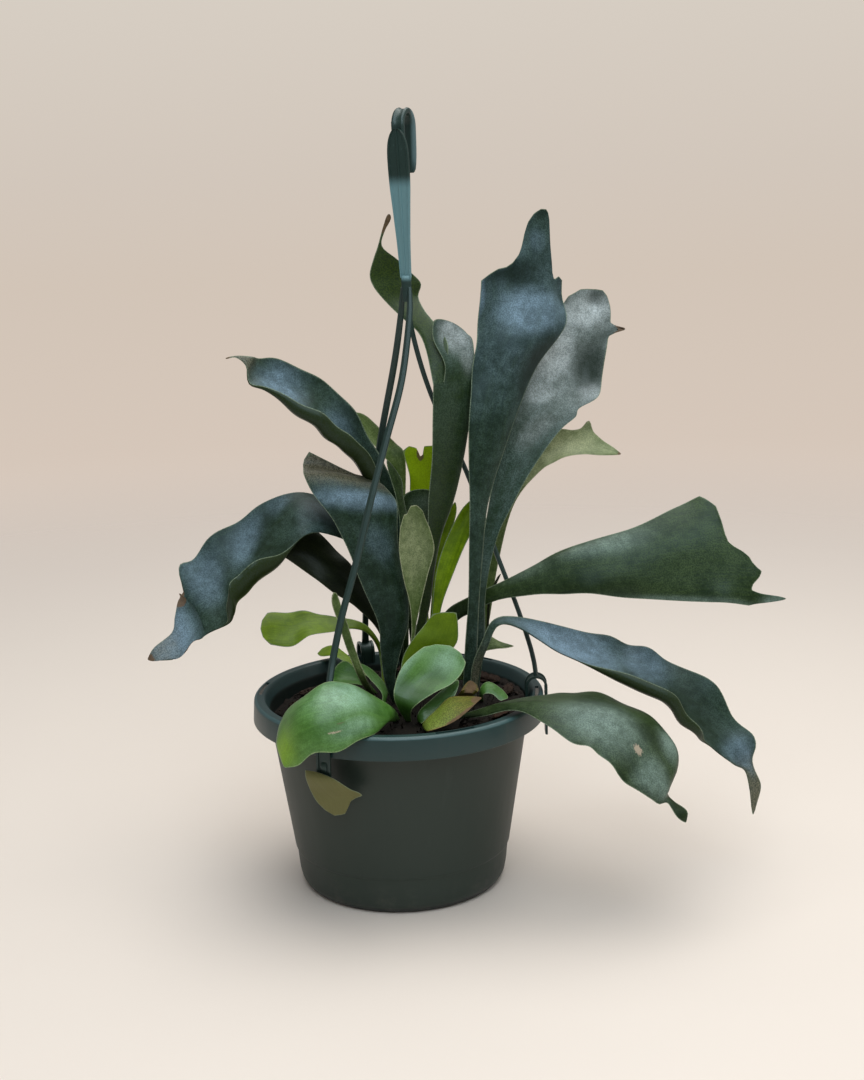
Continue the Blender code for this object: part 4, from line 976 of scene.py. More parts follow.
def frond_finish(name, dark, fresh, hair, under, margin=(0.20, 0.26, 0.17), patch=(0.16, 0.26, 0.035),
                 hairy=0.5, speckled=0.7, gloss=0.34, wax=0.25, shine=(0.62, 0.82, 1.0)):
    """A frond's skin: waxy, streaked along its length, with fine pale hairs and pale margins. Its silvery
    spots are hairs together with a painted sheen, and its dark spots are painted shade.
    """
    made, shader, place = new_finish(name, Specular_IOR_Level=wax, Specular_Tint=shine)
    blade, marks, tone = place.fact("blade"), place.fact("marks"), place.fact("tone")
    top = blade.axis("Z").between(-0.2, 0.2)
    edge, brown, scar = (marks.axis(k) for k in range(3))
    silver_hair_and_sheen, other, shade = (tone.axis(k) for k in range(3))
    hairs = place.noise(1150.0, 2.0, 0.7)
    cloudy = place.noise(38.0, 3.0)
    streaks = blade.stretched(0.7, 0.035, 0.0).noise(1.0, 3.0, 0.6)
    veins = blade.stretched(0.16, 0.012, 0.0).noise(1.0, 2.0, 0.5)
    blotches = place.noise(170.0, 3.0, 0.6)

    # the skin, streaked and speckled
    body = (0.4 * cloudy + 0.3 * streaks + 0.3 * blotches).between(0.38, 0.62).mix(dark, fresh)
    body = (veins.between(0.52, 0.62) * 0.3).mix(body, fresh)
    body = other.mix(body, patch)
    scurf = hairs.between(0.42, 0.58)
    body = ((1.0 - speckled) + speckled * scurf).mix(tuple(0.55 * c for c in dark), body)

    # the hairs, thicker on silvery spots, where they also paint a sheen, and few on the underside
    matted = (0.55 * cloudy + 0.45 * blotches).between(0.36, 0.64)
    downy = hairy * (0.02 + 0.26 * matted) * (0.40 + 0.60 * scurf)
    downy = (downy + silver_hair_and_sheen * (0.50 + 0.40 * matted) * (0.62 + 0.38 * scurf)) * (1.0 - 0.75 * other)
    above = downy.mix(body, hair)
    # Painted shade: the dark spots darken the upper face in hollows and under other blades.
    above = (shade * 0.85).mix(above, tuple(0.45 * c for c in dark))
    below = ((0.01 + 0.08 * scurf) * hairy).mix(streaks.mix(under, tuple(1.5 * c for c in under)), hair)
    colour = top.mix(below, above)

    # the pale margin, dead brown tissue and scars
    pale_edge = (1.0 - edge.between(0.2, 0.8)) * (0.35 + 0.5 * scurf)
    colour = pale_edge.mix(colour, margin)
    ragged = place.noise(260.0, 4.0, 0.7)
    dead = (brown + 0.5 * ragged - 0.25).between(0.42, 0.60)
    colour = (dead * 0.9).mix(colour, ragged.mix((0.045, 0.026, 0.013), (0.19, 0.120, 0.065)))
    worn = (scar + 0.7 * hairs - 0.35).between(0.40, 0.60)
    feed(shader.inputs["Base Color"], (worn * 0.85).mix(colour, (0.42, 0.35, 0.26)))
    feed(shader.inputs["Roughness"], gloss + 0.10 * scurf + 0.08 * silver_hair_and_sheen + 0.25 * dead)
    relief = 0.6 * hairs + 0.5 * streaks
    feed(shader.inputs["Normal"], relief.bump(0.45, 0.0004))
    return made


blue_skin = frond_finish("blue_green_frond", dark=(0.009, 0.023, 0.007), fresh=(0.026, 0.054, 0.018),
                         hair=(0.23, 0.35, 0.46), under=(0.013, 0.021, 0.001),
                         patch=(0.230, 0.210, 0.140), hairy=0.32)
silver_skin = frond_finish("silvery_frond", dark=(0.013, 0.036, 0.015), fresh=(0.030, 0.072, 0.054),
                           hair=(0.62, 0.71, 0.73), under=(0.050, 0.075, 0.030),
                           patch=(0.034, 0.062, 0.003), hairy=0.20, shine=(0.85, 0.94, 1.0))
sage_skin = frond_finish("sage_frond", dark=(0.042, 0.078, 0.012), fresh=(0.100, 0.160, 0.036),
                         hair=(0.40, 0.44, 0.26), under=(0.100, 0.150, 0.045),
                         margin=(0.36, 0.38, 0.24), hairy=0.45, speckled=0.4, shine=(0.9, 0.97, 1.0))
# On the fronds and leaves below, silver spots are silvery hairs with a painted sheen, and dark spots are
# painted shade in hollows and under other blades.
frond("frond_upright_front", blue_skin, "frond_blue_green", [
    (45, 0, 130,  54, 1, 130,  0),
    (47, -5, 167,  56, -3, 166,  0),
    (50, -7, 204,  58, -4, 203,  0),
    (51, -8, 238,  61, -4, 237,  1),
    (52, -9, 271,  65, -3, 270,  1),
    (52, -8, 303,  75, 1, 302,  3),
    (53, -4, 335,  87, 8, 332,  5),
    (57, 5, 366,  102, 17, 363,  7),
    (62, 14, 394,  122, 25, 390,  8),
    (64, 20, 415,  121, 28, 413,  6),
    (65, 24, 442,  120, 29, 441,  4),
    (66, 24, 470,  120, 26, 469,  2),
], columns=41, step=2.2, ruffle=(1.6, 62, 0.45, 1.0),
      tip=[(-1, 1.74), (-0.81, 1.58), (-0.62, 1.46), (-0.43, 1.42), (-0.28, 1.32), (-0.12, 1.11),
           (-0.04, 0.89), (0.03, 0.65), (0.13, 0.4), (0.29, 0.18), (0.47, 0.03), (0.6, 0.05),
           (0.68, 0.25), (0.705, 0.9), (0.7, 1.0), (0.72, 1.68), (0.8, 1.71), (0.9, 1.64), (1, 1.74)],
      bulges=[(0.73, 0.0, 0.055, 1.0, 4.0), (0.91, 0.0, 0.045, 0.6, 4.0), (0.80, -1.0, 0.10, 0.2, -5.0),
              (0.82, 0.95, 0.035, 0.2, -4.0), (0.55, 0.2, 0.07, 0.8, 1.6)],
      silver_hair_and_sheen=[(0.795, 0.15, 0.055, 0.85, 0.85), (0.78, 0, 0.18, 3, 0.22), (0.72, -0.1, 0.03, 0.5, 0.3),
              (0.935, 0.35, 0.03, 0.25, 0.35), (0.83, -0.97, 0.05, 0.1, 0.6)],
      dark=[(0.875, -0.35, 0.028, 0.6, 0.95), (1.0, 0.5, 0.02, 0.3, 0.9), (0.69, 0.8, 0.07, 0.35, 0.9)])
frond("frond_upright_behind", silver_skin, "frond_silvery", [
    (50, 12, 130,  57, 14, 130,  0),
    (54, 7, 171,  62, 8, 170,  0),
    (56, 2, 201,  63, 3, 207,  0),
    (59, 2, 230,  71, 3, 244,  -1),
    (64, 5, 258,  82, 7, 266,  -2),
    (70, 10, 286,  97, 13, 291,  -3),
    (79, 16, 315,  119, 21, 318,  -5),
    (93, 25, 344,  145, 31, 336,  -6),
    (105, 34, 370,  152, 41, 366,  -6),
    (117, 41, 393,  157, 48, 392,  -5),
    (128, 46, 413,  154, 51, 412,  -3),
], columns=41, step=2.2, ruffle=(1.8, 55, 0.45, 2.2),
      tip=[(-1, 0.6), (-0.94, 0.35), (-0.63, 0.2), (-0.37, 0.03), (0, 0), (0.5, 0.02), (0.8, 0.1),
           (0.95, 0.35), (1, 0.7)], nicks=[(1, 0.905, 0.008, -0.5), (1, 0.715, 0.025, 0.28)],
      bulges=[(0.82, 0.6, 0.055, 0.4, -6.0), (0.70, 0.1, 0.06, 0.8, 3.5), (0.97, 0.4, 0.03, 0.4, -3.0)],
      silver_hair_and_sheen=[(0.955, 0.1, 0.055, 1.2, 0.95), (0.85, -0.5, 0.085, 0.7, 1.0),
              (0.75, -0.5, 0.035, 0.5, 0.75), (0.765, 0.75, 0.03, 0.35, 0.85),
              (0.66, 0.0, 0.06, 0.6, 0.35), (0.84, 0, 0.16, 3, 0.42)],
      dark=[(0.82, 0.62, 0.07, 0.5, 1.0), (0.885, 0.85, 0.03, 0.25, 0.6),
            (0.985, 0.4, 0.018, 0.35, 0.75)], brown=[(0.905, 1.0, 0.010, 0.12, 1.0)])
frond("frond_pale_behind", sage_skin, "frond_sage", [
    (44, 45, 130,  50, 47, 130,  0),
    (60, 52, 165,  66, 52, 165,  0),
    (66, 58, 209,  75, 58, 212,  0),
    (78, 64, 252,  87, 62, 255,  -1),
    (98, 70, 292,  104, 62, 278,  -3),
    (123, 76, 310,  120, 60, 289,  -4),
    (141, 76, 309,  137, 58, 293,  -3),
    (155, 74, 300,  150, 60, 292,  -1),
    (167, 68, 292,  166, 66, 290,  0),
], columns=21, step=1.6, ruffle=(0.8, 34, 0.6, 0.4),
      nicks=[(-1, 0.885, 0.012, -0.45), (-1, 0.84, 0.03, 0.2)], silver_hair_and_sheen=[(0.75, -0.1, 0.25, 1.5, 0.8)],
      brown=[(1.0, 0, 0.012, 2.0, 0.9)])


# --- Fronds on the right --------------------------------------------------------------------
# A broad green one that reaches out level and ends in a notched fan, a long blue-green one that
# arches over to a thin tip, and a low green one that lies over the rim.

green_skin = frond_finish("green_frond", dark=(0.011, 0.026, 0.003), fresh=(0.034, 0.062, 0.008),
                          hair=(0.25, 0.35, 0.31), under=(0.034, 0.054, 0.006), hairy=0.22,
                          shine=(0.70, 0.92, 1.0))
frond("frond_right", green_skin, "frond_green", [
    (22, 46, 130,  28, 43, 130,  0),
    (26, 30, 165,  33, 26, 163,  0),
    (35, 26, 187,  42, 21, 180,  0),
    (52, 17, 200,  55, 13, 190,  1),
    (80, 4, 216,  76, -3, 203,  2),
    (124, 4, 237,  119, -14, 208,  5),
    (167, 8, 248,  163, -18, 205,  8),
    (198, 12, 262,  196, -20, 202,  9),
    (220, 14, 270,  224, -22, 200,  8),
    (247, 14, 271,  249, -24, 198,  6),
    (268, 14, 270,  269, -24, 197,  5),
], columns=41, step=2.2, ruffle=(1.8, 58, 0.35, 0.2),
      tip=[(-1, 2.25), (-0.91, 2.09), (-0.73, 1.84), (-0.43, 1.76), (-0.2, 1.72), (-0.06, 1.66),
           (0.02, 1.52), (0.1, 1.3), (0.19, 1.14), (0.27, 1.08), (0.36, 0.95), (0.42, 0.82),
           (0.52, 0.9), (0.64, 1.1), (0.74, 1.17), (0.79, 0.9), (0.83, 0.45), (0.88, 0), (0.92, 0.4),
           (0.95, 1.0), (1, 1.3)],
      bulges=[(0.52, -0.7, 0.10, 0.5, 3.0), (0.74, 0.35, 0.10, 0.5, -3.0), (0.86, 0.9, 0.03, 0.2, 1.5)],
      silver_hair_and_sheen=[(0.60, -0.65, 0.10, 0.40, 0.55), (0.42, -0.6, 0.06, 0.5, 0.25),
              (0.97, 0.95, 0.03, 0.12, 0.7), (0.78, 1.0, 0.14, 0.10, 0.6)],
      dark=[(0.60, 0.7, 0.10, 0.4, 0.5)])
frond("frond_arching_right", blue_skin, "frond_blue_green", [
    (50, -15, 130,  54, -13, 130,  0),
    (51, -17, 157,  57, -16, 156,  0),
    (58, -18, 176,  63, -19, 174,  0),
    (67, -14, 191,  70, -19, 188,  -1),
    (84, -8, 191,  84, -19, 186,  -2),
    (116, 0, 181,  113, -29, 169,  -4),
    (151, 6, 170,  144, -44, 157,  -6),
    (183, 6, 158,  169, -52, 147,  -8),
    (204, 2, 146,  186, -54, 133,  -8),
    (223, -6, 136,  200, -52, 117,  -7),
    (235, -14, 116,  211, -46, 108,  -5),
    (248, -22, 104,  218, -42, 99,  -3),
    (246, -28, 90,  231, -38, 88,  -1),
    (247, -32, 83,  239, -36, 83,  0),
    (251, -34, 71,  242, -38, 72,  0),
    (248, -36, 57,  244, -38, 57,  0),
    (246, -37, 51,  245, -38, 51,  0),
], columns=33, step=2.2, ruffle=(1.7, 46, 0.3, 1.7),
      bulges=[(0.35, 0, 0.1, 0.7, 1.5), (0.85, 0, 0.03, 0.8, 2.5)], rolls=[(1, 0.60, 0.15, 14, 170)],
      silver_hair_and_sheen=[(0.38, 0, 0.12, 1.2, 1.0), (0.56, -0.5, 0.06, 0.6, 0.7), (0.86, -0.1, 0.05, 0.8, 0.7)],
      patch=[(0.0, 0, 0.13, 3, 0.6), (0.95, 0, 0.07, 2, 0.7)], dark=[(0.70, 0.1, 0.10, 0.9, 0.5)])
frond("frond_over_rim_right", green_skin, "frond_green", [
    (40, -38, 130,  45, -45, 130,  0),
    (55, -48, 138,  58, -58, 136,  0),
    (68, -50, 142,  73, -66, 142,  1),
    (86, -48, 145,  84, -76, 143,  2),
    (104, -46, 146,  97, -92, 139,  4),
    (127, -46, 147,  115, -104, 130,  6),
    (151, -50, 141,  129, -110, 126,  7),
    (170, -60, 134,  140, -112, 111,  7),
    (181, -72, 118,  152, -112, 103,  5),
    (183, -84, 104,  163, -110, 94,  3),
    (176, -94, 93,  168, -108, 89,  1),
    (179, -98, 87,  174, -104, 88,  0),
    (187, -102, 81,  179, -108, 80,  0),
    (187, -104, 75,  185, -106, 74,  0),
], columns=33, step=2.2, ruffle=(2.0, 44, 0.3, 0.9),
      bulges=[(0.50, 0.1, 0.20, 0.35, 2.5), (0.72, 0.6, 0.06, 0.4, -3.0), (0.78, -0.7, 0.05, 0.4, 3.0)],
      silver_hair_and_sheen=[(0.54, 0.25, 0.15, 0.6, 0.85), (0.80, 0.45, 0.10, 0.5, 0.75),
              (0.76, -0.7, 0.05, 0.35, 0.7)],
      dark=[(0.70, -0.35, 0.06, 0.3, 0.6), (0.95, 0, 0.06, 2.0, 0.7)],
      scar=[(0.68, 0.25, 0.03, 0.10, 0.78)])


# --- Fronds on the left ---------------------------------------------------------------------
# Two blue-green ones that arch out to the left and curl at their tips, a dark one behind them, and
# the broad one in the middle whose top rolls back.

olive_skin = frond_finish("olive_frond", dark=(0.003, 0.006, 0.001), fresh=(0.010, 0.016, 0.003),
                          hair=(0.07, 0.09, 0.03), under=(0.004, 0.005, 0.001),
                          margin=(0.06, 0.07, 0.03), hairy=0.12, shine=(0.85, 0.97, 0.9))
frond("frond_upper_left", blue_skin, "frond_blue_green", [
    (2, 54, 130,  8, 56, 130,  0),
    (0, 34, 187,  6, 36, 188,  0),
    (-6, 30, 233,  5, 35, 238,  -2),
    (-14, 21, 274,  2, 34, 275,  -5),
    (-24, 8, 300,  -9, 32, 301,  -8),
    (-36, 0, 313,  -26, 32, 333,  -9),
    (-49, -6, 326,  -44, 32, 353,  -10),
    (-66, -9, 340,  -62, 28, 363,  -9),
    (-84, -8, 353,  -78, 22, 371,  -6),
    (-95, -4, 358,  -89, 14, 373,  -2),
    (-97, 2, 369,  -93, 8, 375,  0),
    (-104, 4, 375,  -103, 6, 376,  0),
    (-111, 4, 374,  -111, 5, 375,  0),
], columns=33, step=2.2, ruffle=(1.2, 44, 0.45, 2.6),
      bulges=[(0.62, 0.2, 0.06, 0.6, -2.0), (0.76, 0.1, 0.05, 0.7, 2.0)],
      rolls=[(-1, 0.64, 0.22, 21, 170)],
      silver_hair_and_sheen=[(0.85, 0.0, 0.06, 0.9, 0.8), (0.67, 0.1, 0.05, 0.6, 0.5)],
      patch=[(0.97, 0, 0.04, 2, 0.6)], dark=[(0.5, 0.3, 0.12, 0.8, 0.4)],
      brown=[(1.0, 0, 0.012, 2, 1.0)])
frond("frond_big_left", blue_skin, "frond_blue_green", [
    (4, 44, 130,  10, 46, 130,  0),
    (-4, 26, 175,  4, 27, 176,  0),
    (-13, 20, 213,  -4, 26, 217,  0),
    (-27, 8, 240,  -14, 27, 244,  2),
    (-48, -8, 254,  -37, 28, 264,  3),
    (-62, -18, 254,  -57, 26, 275,  2),
    (-78, -26, 239,  -75, 22, 276,  -2),
    (-96, -34, 228,  -93, 16, 270,  -6),
    (-106, -40, 218,  -112, 8, 259,  -9),
    (-110, -44, 211,  -130, 0, 249,  -9),
    (-114, -46, 203,  -141, -8, 236,  -6),
    (-128, -46, 196,  -151, -16, 222,  -3),
    (-132, -46, 191,  -146, -22, 213,  -2),
    (-140, -46, 185,  -151, -28, 203,  -1),
    (-147, -46, 180,  -153, -34, 194,  0),
    (-158, -46, 178,  -164, -40, 186,  0),
    (-168, -44, 177,  -169, -42, 179,  0),
], columns=41, step=2.2, ruffle=(1.6, 46, 0.45, 0.5),
      nicks=[(1, 0.815, 0.016, -0.16), (1, 0.845, 0.012, 0.35), (1, 0.885, 0.016, -0.25),
             (-1, 0.89, 0.016, 0.2)],
      bulges=[(0.56, 0.2, 0.05, 0.9, 3.0), (0.72, 0.3, 0.05, 0.6, 3.0), (0.86, 0, 0.025, 1.0, -3.0)],
      rolls=[(-1, 0.675, 0.10, 28, 165)],
      silver_hair_and_sheen=[(0.685, 0.45, 0.040, 0.5, 0.6), (0.79, 0.4, 0.045, 0.6, 0.6),
              (0.48, -0.2, 0.06, 0.8, 0.2), (0.60, 0.8, 0.03, 0.3, 0.3), (0.94, 0, 0.06, 2.0, 1.0)],
      patch=[(0.965, 0.1, 0.05, 2.0, 0.62)],
      dark=[(0.635, 0.1, 0.03, 0.8, 0.3), (0.735, 0.2, 0.02, 0.6, 0.3)],
      brown=[(0.90, -1.0, 0.04, 0.12, 0.8), (0.865, 0.98, 0.03, 0.3, 1.0), (1.0, 0, 0.018, 2, 0.8)])
frond("frond_left_behind", olive_skin, "frond_olive", [
    (-7, 43, 130,  0, 45, 130,  0),
    (-12, 14, 174,  -6, 20, 182,  0),
    (-28, 12, 195,  -21, 24, 210,  2),
    (-50, 10, 212,  -34, 26, 226,  3),
    (-67, 12, 226,  -46, 28, 239,  3),
    (-83, 14, 237,  -62, 28, 254,  2),
    (-93, 18, 246,  -76, 26, 260,  1),
], columns=21, ruffle=(1.0, 46, 0.4, 0.3))
frond("frond_rolled_top", blue_skin, "frond_blue_green", [
    (-5, -3, 130,  3, -6, 130,  0),
    (-10, -12, 149,  -2, -12, 149,  0),
    (-12, -14, 172,  2, -12, 169,  1),
    (-13, -16, 191,  8, -10, 189,  3),
    (-22, -18, 216,  8, -8, 208,  4),
    (-31, -18, 241,  4, -6, 233,  5),
    (-40, -18, 263,  2, -4, 258,  5),
    (-54, -14, 282,  2, -2, 274,  5),
    (-60, -8, 295,  -5, 2, 283,  4),
    (-61, 0, 299,  -12, 7, 286,  1),
    (-61, 4, 303,  -14, 8, 288,  -1),
    (-57, 5, 309,  -17, 9, 287,  -1),
], columns=33, step=2.2, ruffle=(1.2, 60, 0.35, 0.3), tip=[(-1, 0), (0, 0), (1, 0)],
      silver_hair_and_sheen=[(0.83, 0.1, 0.04, 1.2, 0.85), (0.66, 0.2, 0.07, 0.5, 0.3)],
      patch=[(0.96, 0, 0.065, 3, 1.0)],
      dark=[(0.93, 0.7, 0.04, 0.5, 0.9), (0.30, -0.2, 0.2, 0.6, 0.4)])


# --- Forked frond ---------------------------------------------------------------------------
# The frond behind the hanger. Its trunk divides into a rolled, silvery blade and an antler that
# curls away to the left and ends in a dry thread.

frond("frond_forked", silver_skin, "frond_green", [
    (8, 33, 130,  16, 35, 130,  0),
    (11, 12, 167,  18, 14, 168,  0),
    (17, 8, 197,  24, 12, 197,  0),
    (20, 4, 223,  28, 10, 223,  0),
    (23, 1, 249,  33, 8, 247,  0),
    (24, -2, 274,  42, 7, 272,  1),
    (27, -5, 303,  49, 6, 300,  1),
    (28, -6, 330,  54, 6, 328,  1),
    (29, -6, 354,  57, 6, 352,  0),
], left_arm=[
    (25, 3, 376,  40, 3, 379,  0),
    (20, 11, 388,  33, 12, 392,  0),
    (9, 19, 398,  25, 22, 402,  0),
    (-1, 22, 408,  21, 30, 411,  -1),
    (-9, 22, 418,  23, 30, 420,  -2),
    (-12, 22, 427,  16, 30, 428,  -2),
    (-9, 22, 438,  7, 28, 437,  -1),
    (-6, 22, 446,  -3, 24, 446,  0),
    (-3, 22, 456,  -1, 22, 456,  0),
    (-1, 22, 462,  3, 22, 463,  0),
    (1, 22, 468,  4, 22, 467,  0),
], right_arm=[
    (37, -4, 368,  58, 8, 367,  -2),
    (30, -1, 384,  57, 10, 382,  -4),
    (30, 2, 395,  53, 11, 387,  -3),
    (33, 4, 399,  47, 11, 394,  -1),
], fork=0.24, step=2.2, silver_hair_and_sheen=[(0.93, 0.3, 0.10, 0.9, 0.75), (0.80, 0.6, 0.09, 0.4, 0.5)],
      patch=[(0.2, 0, 0.5, 3, 0.9), (1.85, 0, 0.25, 3, 1.0)], dark=[(0.40, 0, 0.3, 3, 0.45)],
      brown=[(2.0, 0, 0.04, 3, 1.0)])


# --- Thin blades at the back ----------------------------------------------------------------
# Young blades among the tall fronds. One of them is thin and lit from behind, and its glow is painted on as
# a bright lime colour.

# The lime skin's patch colour, spread over the whole backlit blade, is its painted glow.
lime_skin = frond_finish("lime_frond", dark=(0.095, 0.175, 0.002), fresh=(0.190, 0.310, 0.004),
                         hair=(0.26, 0.34, 0.10), under=(0.120, 0.190, 0.012),
                         patch=(0.340, 0.520, 0.004), hairy=0.05, speckled=0.25, shine=(0.9, 1.0, 0.9))
# Its patch spot covers the whole blade with the painted glow of the light behind it.
frond("frond_backlit", lime_skin, "frond_lime", [
    (20, 63, 130,  26, 62, 130,  0),
    (16, 58, 188,  23, 58, 188,  0),
    (13, 54, 234,  23, 56, 233,  0),
    (12, 52, 264,  28, 54, 263,  0),
    (12, 50, 281,  33, 54, 279,  -1),
    (9, 50, 295,  34, 54, 296,  -1),
    (7, 50, 304,  34, 54, 304,  -1),
], columns=19, ruffle=(0.6, 30, 0.5, 0.3),
      tip=[(-1, 0.5), (-0.6, 0.1), (-0.25, 0.35), (-0.1, 1.0), (0.05, 0.9), (0.2, 0.2), (0.7, 0.2),
           (1, 0.5)], patch=[(0.6, 0, 0.6, 3, 1.0)], brown=[(0.96, -0.1, 0.03, 0.25, 0.9)])
frond("frond_pale_left", sage_skin, "frond_sage", [
    (-10, 60, 130,  -4, 59, 130,  0),
    (-3, 62, 187,  2, 62, 187,  0),
    (-1, 60, 233,  5, 62, 232,  0),
    (0, 60, 267,  9, 63, 269,  0),
    (-1, 62, 286,  9, 66, 295,  -1),
    (-9, 62, 298,  3, 68, 303,  -2),
    (-17, 62, 308,  -7, 68, 313,  -2),
    (-25, 62, 319,  -18, 67, 324,  -1),
    (-30, 63, 326,  -27, 65, 328,  0),
], columns=13)
frond("blade_narrow_left", green_skin, "frond_green", [
    (2, 24, 130,  7, 26, 130,  0),
    (4, 4, 173,  8, 6, 172,  0),
    (4, 4, 217,  9, 8, 216,  0),
    (4, 4, 252,  10, 10, 252,  0),
    (2, 4, 274,  7, 10, 275,  0),
    (-2, 3, 290,  6, 10, 287,  0),
    (-5, 3, 302,  -2, 8, 301,  0),
], columns=11)
frond("leaf_round_dark", green_skin, "frond_green", [
    (12, 50, 130,  17, 52, 130,  0),
    (8, 32, 180,  14, 34, 179,  0),
    (6, 32, 217,  15, 34, 216,  0),
    (5, 32, 243,  21, 36, 241,  1),
    (6, 32, 259,  27, 38, 258,  2),
    (7, 32, 270,  29, 38, 268,  2),
    (12, 32, 276,  28, 37, 275,  1),
], columns=17, silver_hair_and_sheen=[(0.93, 0.2, 0.05, 0.8, 0.3)])


# --- Young leaves ---------------------------------------------------------------------------
# Small spoon and strap shaped blades round the foot of the tall fronds, brighter and softer than
# they are.

fresh_skin = frond_finish("fresh_frond", dark=(0.046, 0.135, 0.016), fresh=(0.095, 0.235, 0.036),
                          hair=(0.46, 0.70, 0.62), under=(0.055, 0.130, 0.010),
                          margin=(0.28, 0.38, 0.18), patch=(0.24, 0.42, 0.02), hairy=0.12,
                          speckled=0.25, gloss=0.28, wax=0.45, shine=(0.85, 1.0, 1.0))
frond("leaf_spoon_sage", sage_skin, "frond_sage", [
    (8, -10, 130,  11, -10, 130,  0),
    (8, -18, 165,  11, -18, 165,  0),
    (10, -18, 188,  13, -16, 187,  0),
    (9, -18, 206,  17, -14, 204,  -1),
    (5, -20, 225,  22, -14, 223,  -3),
    (3, -20, 244,  27, -14, 242,  -3),
    (4, -20, 260,  24, -14, 259,  -3),
    (7, -19, 274,  22, -15, 273,  -2),
], columns=21, ruffle=(0.5, 50, 0.4, 0.2),
      tip=[(-1, 1.1), (-0.8, 0.5), (-0.55, 0.5), (-0.3, 0.05), (0.2, 0), (0.7, 0.35), (1, 1.1)],
      silver_hair_and_sheen=[(0.80, -0.2, 0.2, 1.2, 0.6)])
frond("leaf_strap_bright", lime_skin, "frond_lime", [
    (21, 22, 130,  27, 24, 130,  0),
    (24, 4, 165,  29, 4, 165,  0),
    (25, 4, 194,  31, 2, 194,  0),
    (28, 4, 220,  39, 0, 218,  -2),
    (34, 5, 240,  48, 1, 239,  -3),
    (44, 4, 261,  57, 2, 257,  -3),
    (53, 5, 274,  61, 3, 272,  -1),
], columns=15, ruffle=(0.8, 40, 0.4, 0.8))
frond("leaf_strap_thin", lime_skin, "frond_lime", [
    (32, 48, 130,  36, 49, 130,  0),
    (24, 40, 162,  28, 40, 162,  0),
    (26, 36, 201,  30, 36, 201,  0),
    (28, 34, 223,  33, 34, 225,  0),
    (31, 32, 238,  38, 33, 238,  0),
    (37, 32, 254,  44, 33, 255,  0),
    (42, 32, 265,  45, 32, 266,  0),
], columns=11)
frond("leaf_olive_flat", lime_skin, "frond_olive", [
    (3, -20, 130,  8, -20, 130,  0),
    (2, -36, 156,  13, -36, 152,  0),
    (3, -34, 170,  27, -32, 166,  1),
    (10, -32, 183,  40, -28, 178,  2),
    (18, -30, 192,  42, -26, 189,  1),
    (26, -29, 202,  41, -25, 200,  0),
], columns=17, ruffle=(0.5, 40, 0.4, 0.8), tip=[(-1, 0.25), (-0.3, 0.05), (0.6, 0), (1, 0.05)],
      dark=[(0.5, 0, 0.9, 3, 0.75)])
frond("leaf_spoon_front", fresh_skin, "frond_green", [
    (4, -46, 130,  8, -48, 130,  0),
    (-3, -58, 149,  9, -62, 144,  -1),
    (-2, -54, 160,  22, -60, 153,  -2),
    (4, -48, 171,  37, -54, 159,  -2),
    (15, -42, 179,  45, -48, 168,  -1),
    (25, -38, 184,  46, -44, 178,  0),
], columns=25, step=1.6, tip=[(-1, 0.75), (-0.7, 0.3), (0, 0), (0.7, 0.3), (1, 0.75)],
      bulges=[(0.62, -0.1, 0.15, 0.5, -2.0)],
      silver_hair_and_sheen=[(0.85, 0.2, 0.15, 0.5, 0.35), (0.6, -0.9, 0.2, 0.2, 0.35)],
      dark=[(0.36, 0, 0.22, 2, 0.95), (0.60, 0.3, 0.18, 0.6, 0.75)])
frond("leaf_oval_front_left", fresh_skin, "frond_fresh_green", [
    (-4, -47, 130,  0, -39, 130,  0),
    (-8, -72, 138,  -4, -54, 142,  1),
    (-16, -93, 138,  -14, -62, 152,  3),
    (-27, -106, 138,  -31, -74, 166,  7),
    (-40, -113, 133,  -46, -84, 171,  9),
    (-55, -114, 133,  -61, -87, 164,  9),
    (-66, -112, 125,  -74, -80, 150,  6),
    (-75, -106, 121,  -82, -84, 134,  2),
], columns=29, step=1.6, ruffle=(0.9, 42, 0.4, 2.0), tip=[(-1, 0.1), (-0.93, 0), (0.4, 0.1), (1, 0.5)],
      silver_hair_and_sheen=[(0.55, 0.45, 0.16, 0.6, 0.5), (0.52, -0.55, 0.14, 0.3, 0.4)],
      patch=[(1.0, -0.3, 0.16, 0.7, 0.95)], brown=[(0.60, -0.35, 0.05, 0.06, 0.55)],
      scar=[(0.64, -0.52, 0.05, 0.08, 0.62)])
frond("leaf_spatula_left", lime_skin, "frond_lime", [
    (-12, 36, 130,  -8, 38, 130,  0),
    (-14, 46, 153,  -11, 48, 154,  0),
    (-22, 42, 168,  -20, 46, 171,  0),
    (-33, 34, 174,  -31, 44, 178,  0),
    (-47, 26, 174,  -47, 44, 181,  -1),
    (-62, 18, 175,  -65, 42, 186,  -2),
    (-75, 14, 168,  -78, 40, 186,  -1),
    (-89, 14, 169,  -91, 36, 188,  0),
    (-97, 15, 172,  -98, 32, 186,  0),
], columns=21, ruffle=(0.7, 34, 0.4, 1.0), tip=[(-1, 0.9), (-0.6, 0.3), (0, 0), (0.6, 0.25), (1, 0.8)],
      dark=[(0.55, -0.7, 0.08, 0.5, 0.5)], brown=[(0.97, -0.95, 0.03, 0.15, 0.6)])
frond("leaf_slender_pale", sage_skin, "frond_sage", [
    (-19, 7, 130,  -16, 7, 130,  0),
    (-27, -20, 152,  -22, -20, 153,  0),
    (-35, -22, 175,  -29, -20, 174,  0),
    (-40, -22, 193,  -34, -20, 193,  0),
    (-44, -22, 207,  -38, -20, 206,  0),
    (-44, -22, 216,  -40, -20, 215,  0),
], stalk=2.0, columns=11)
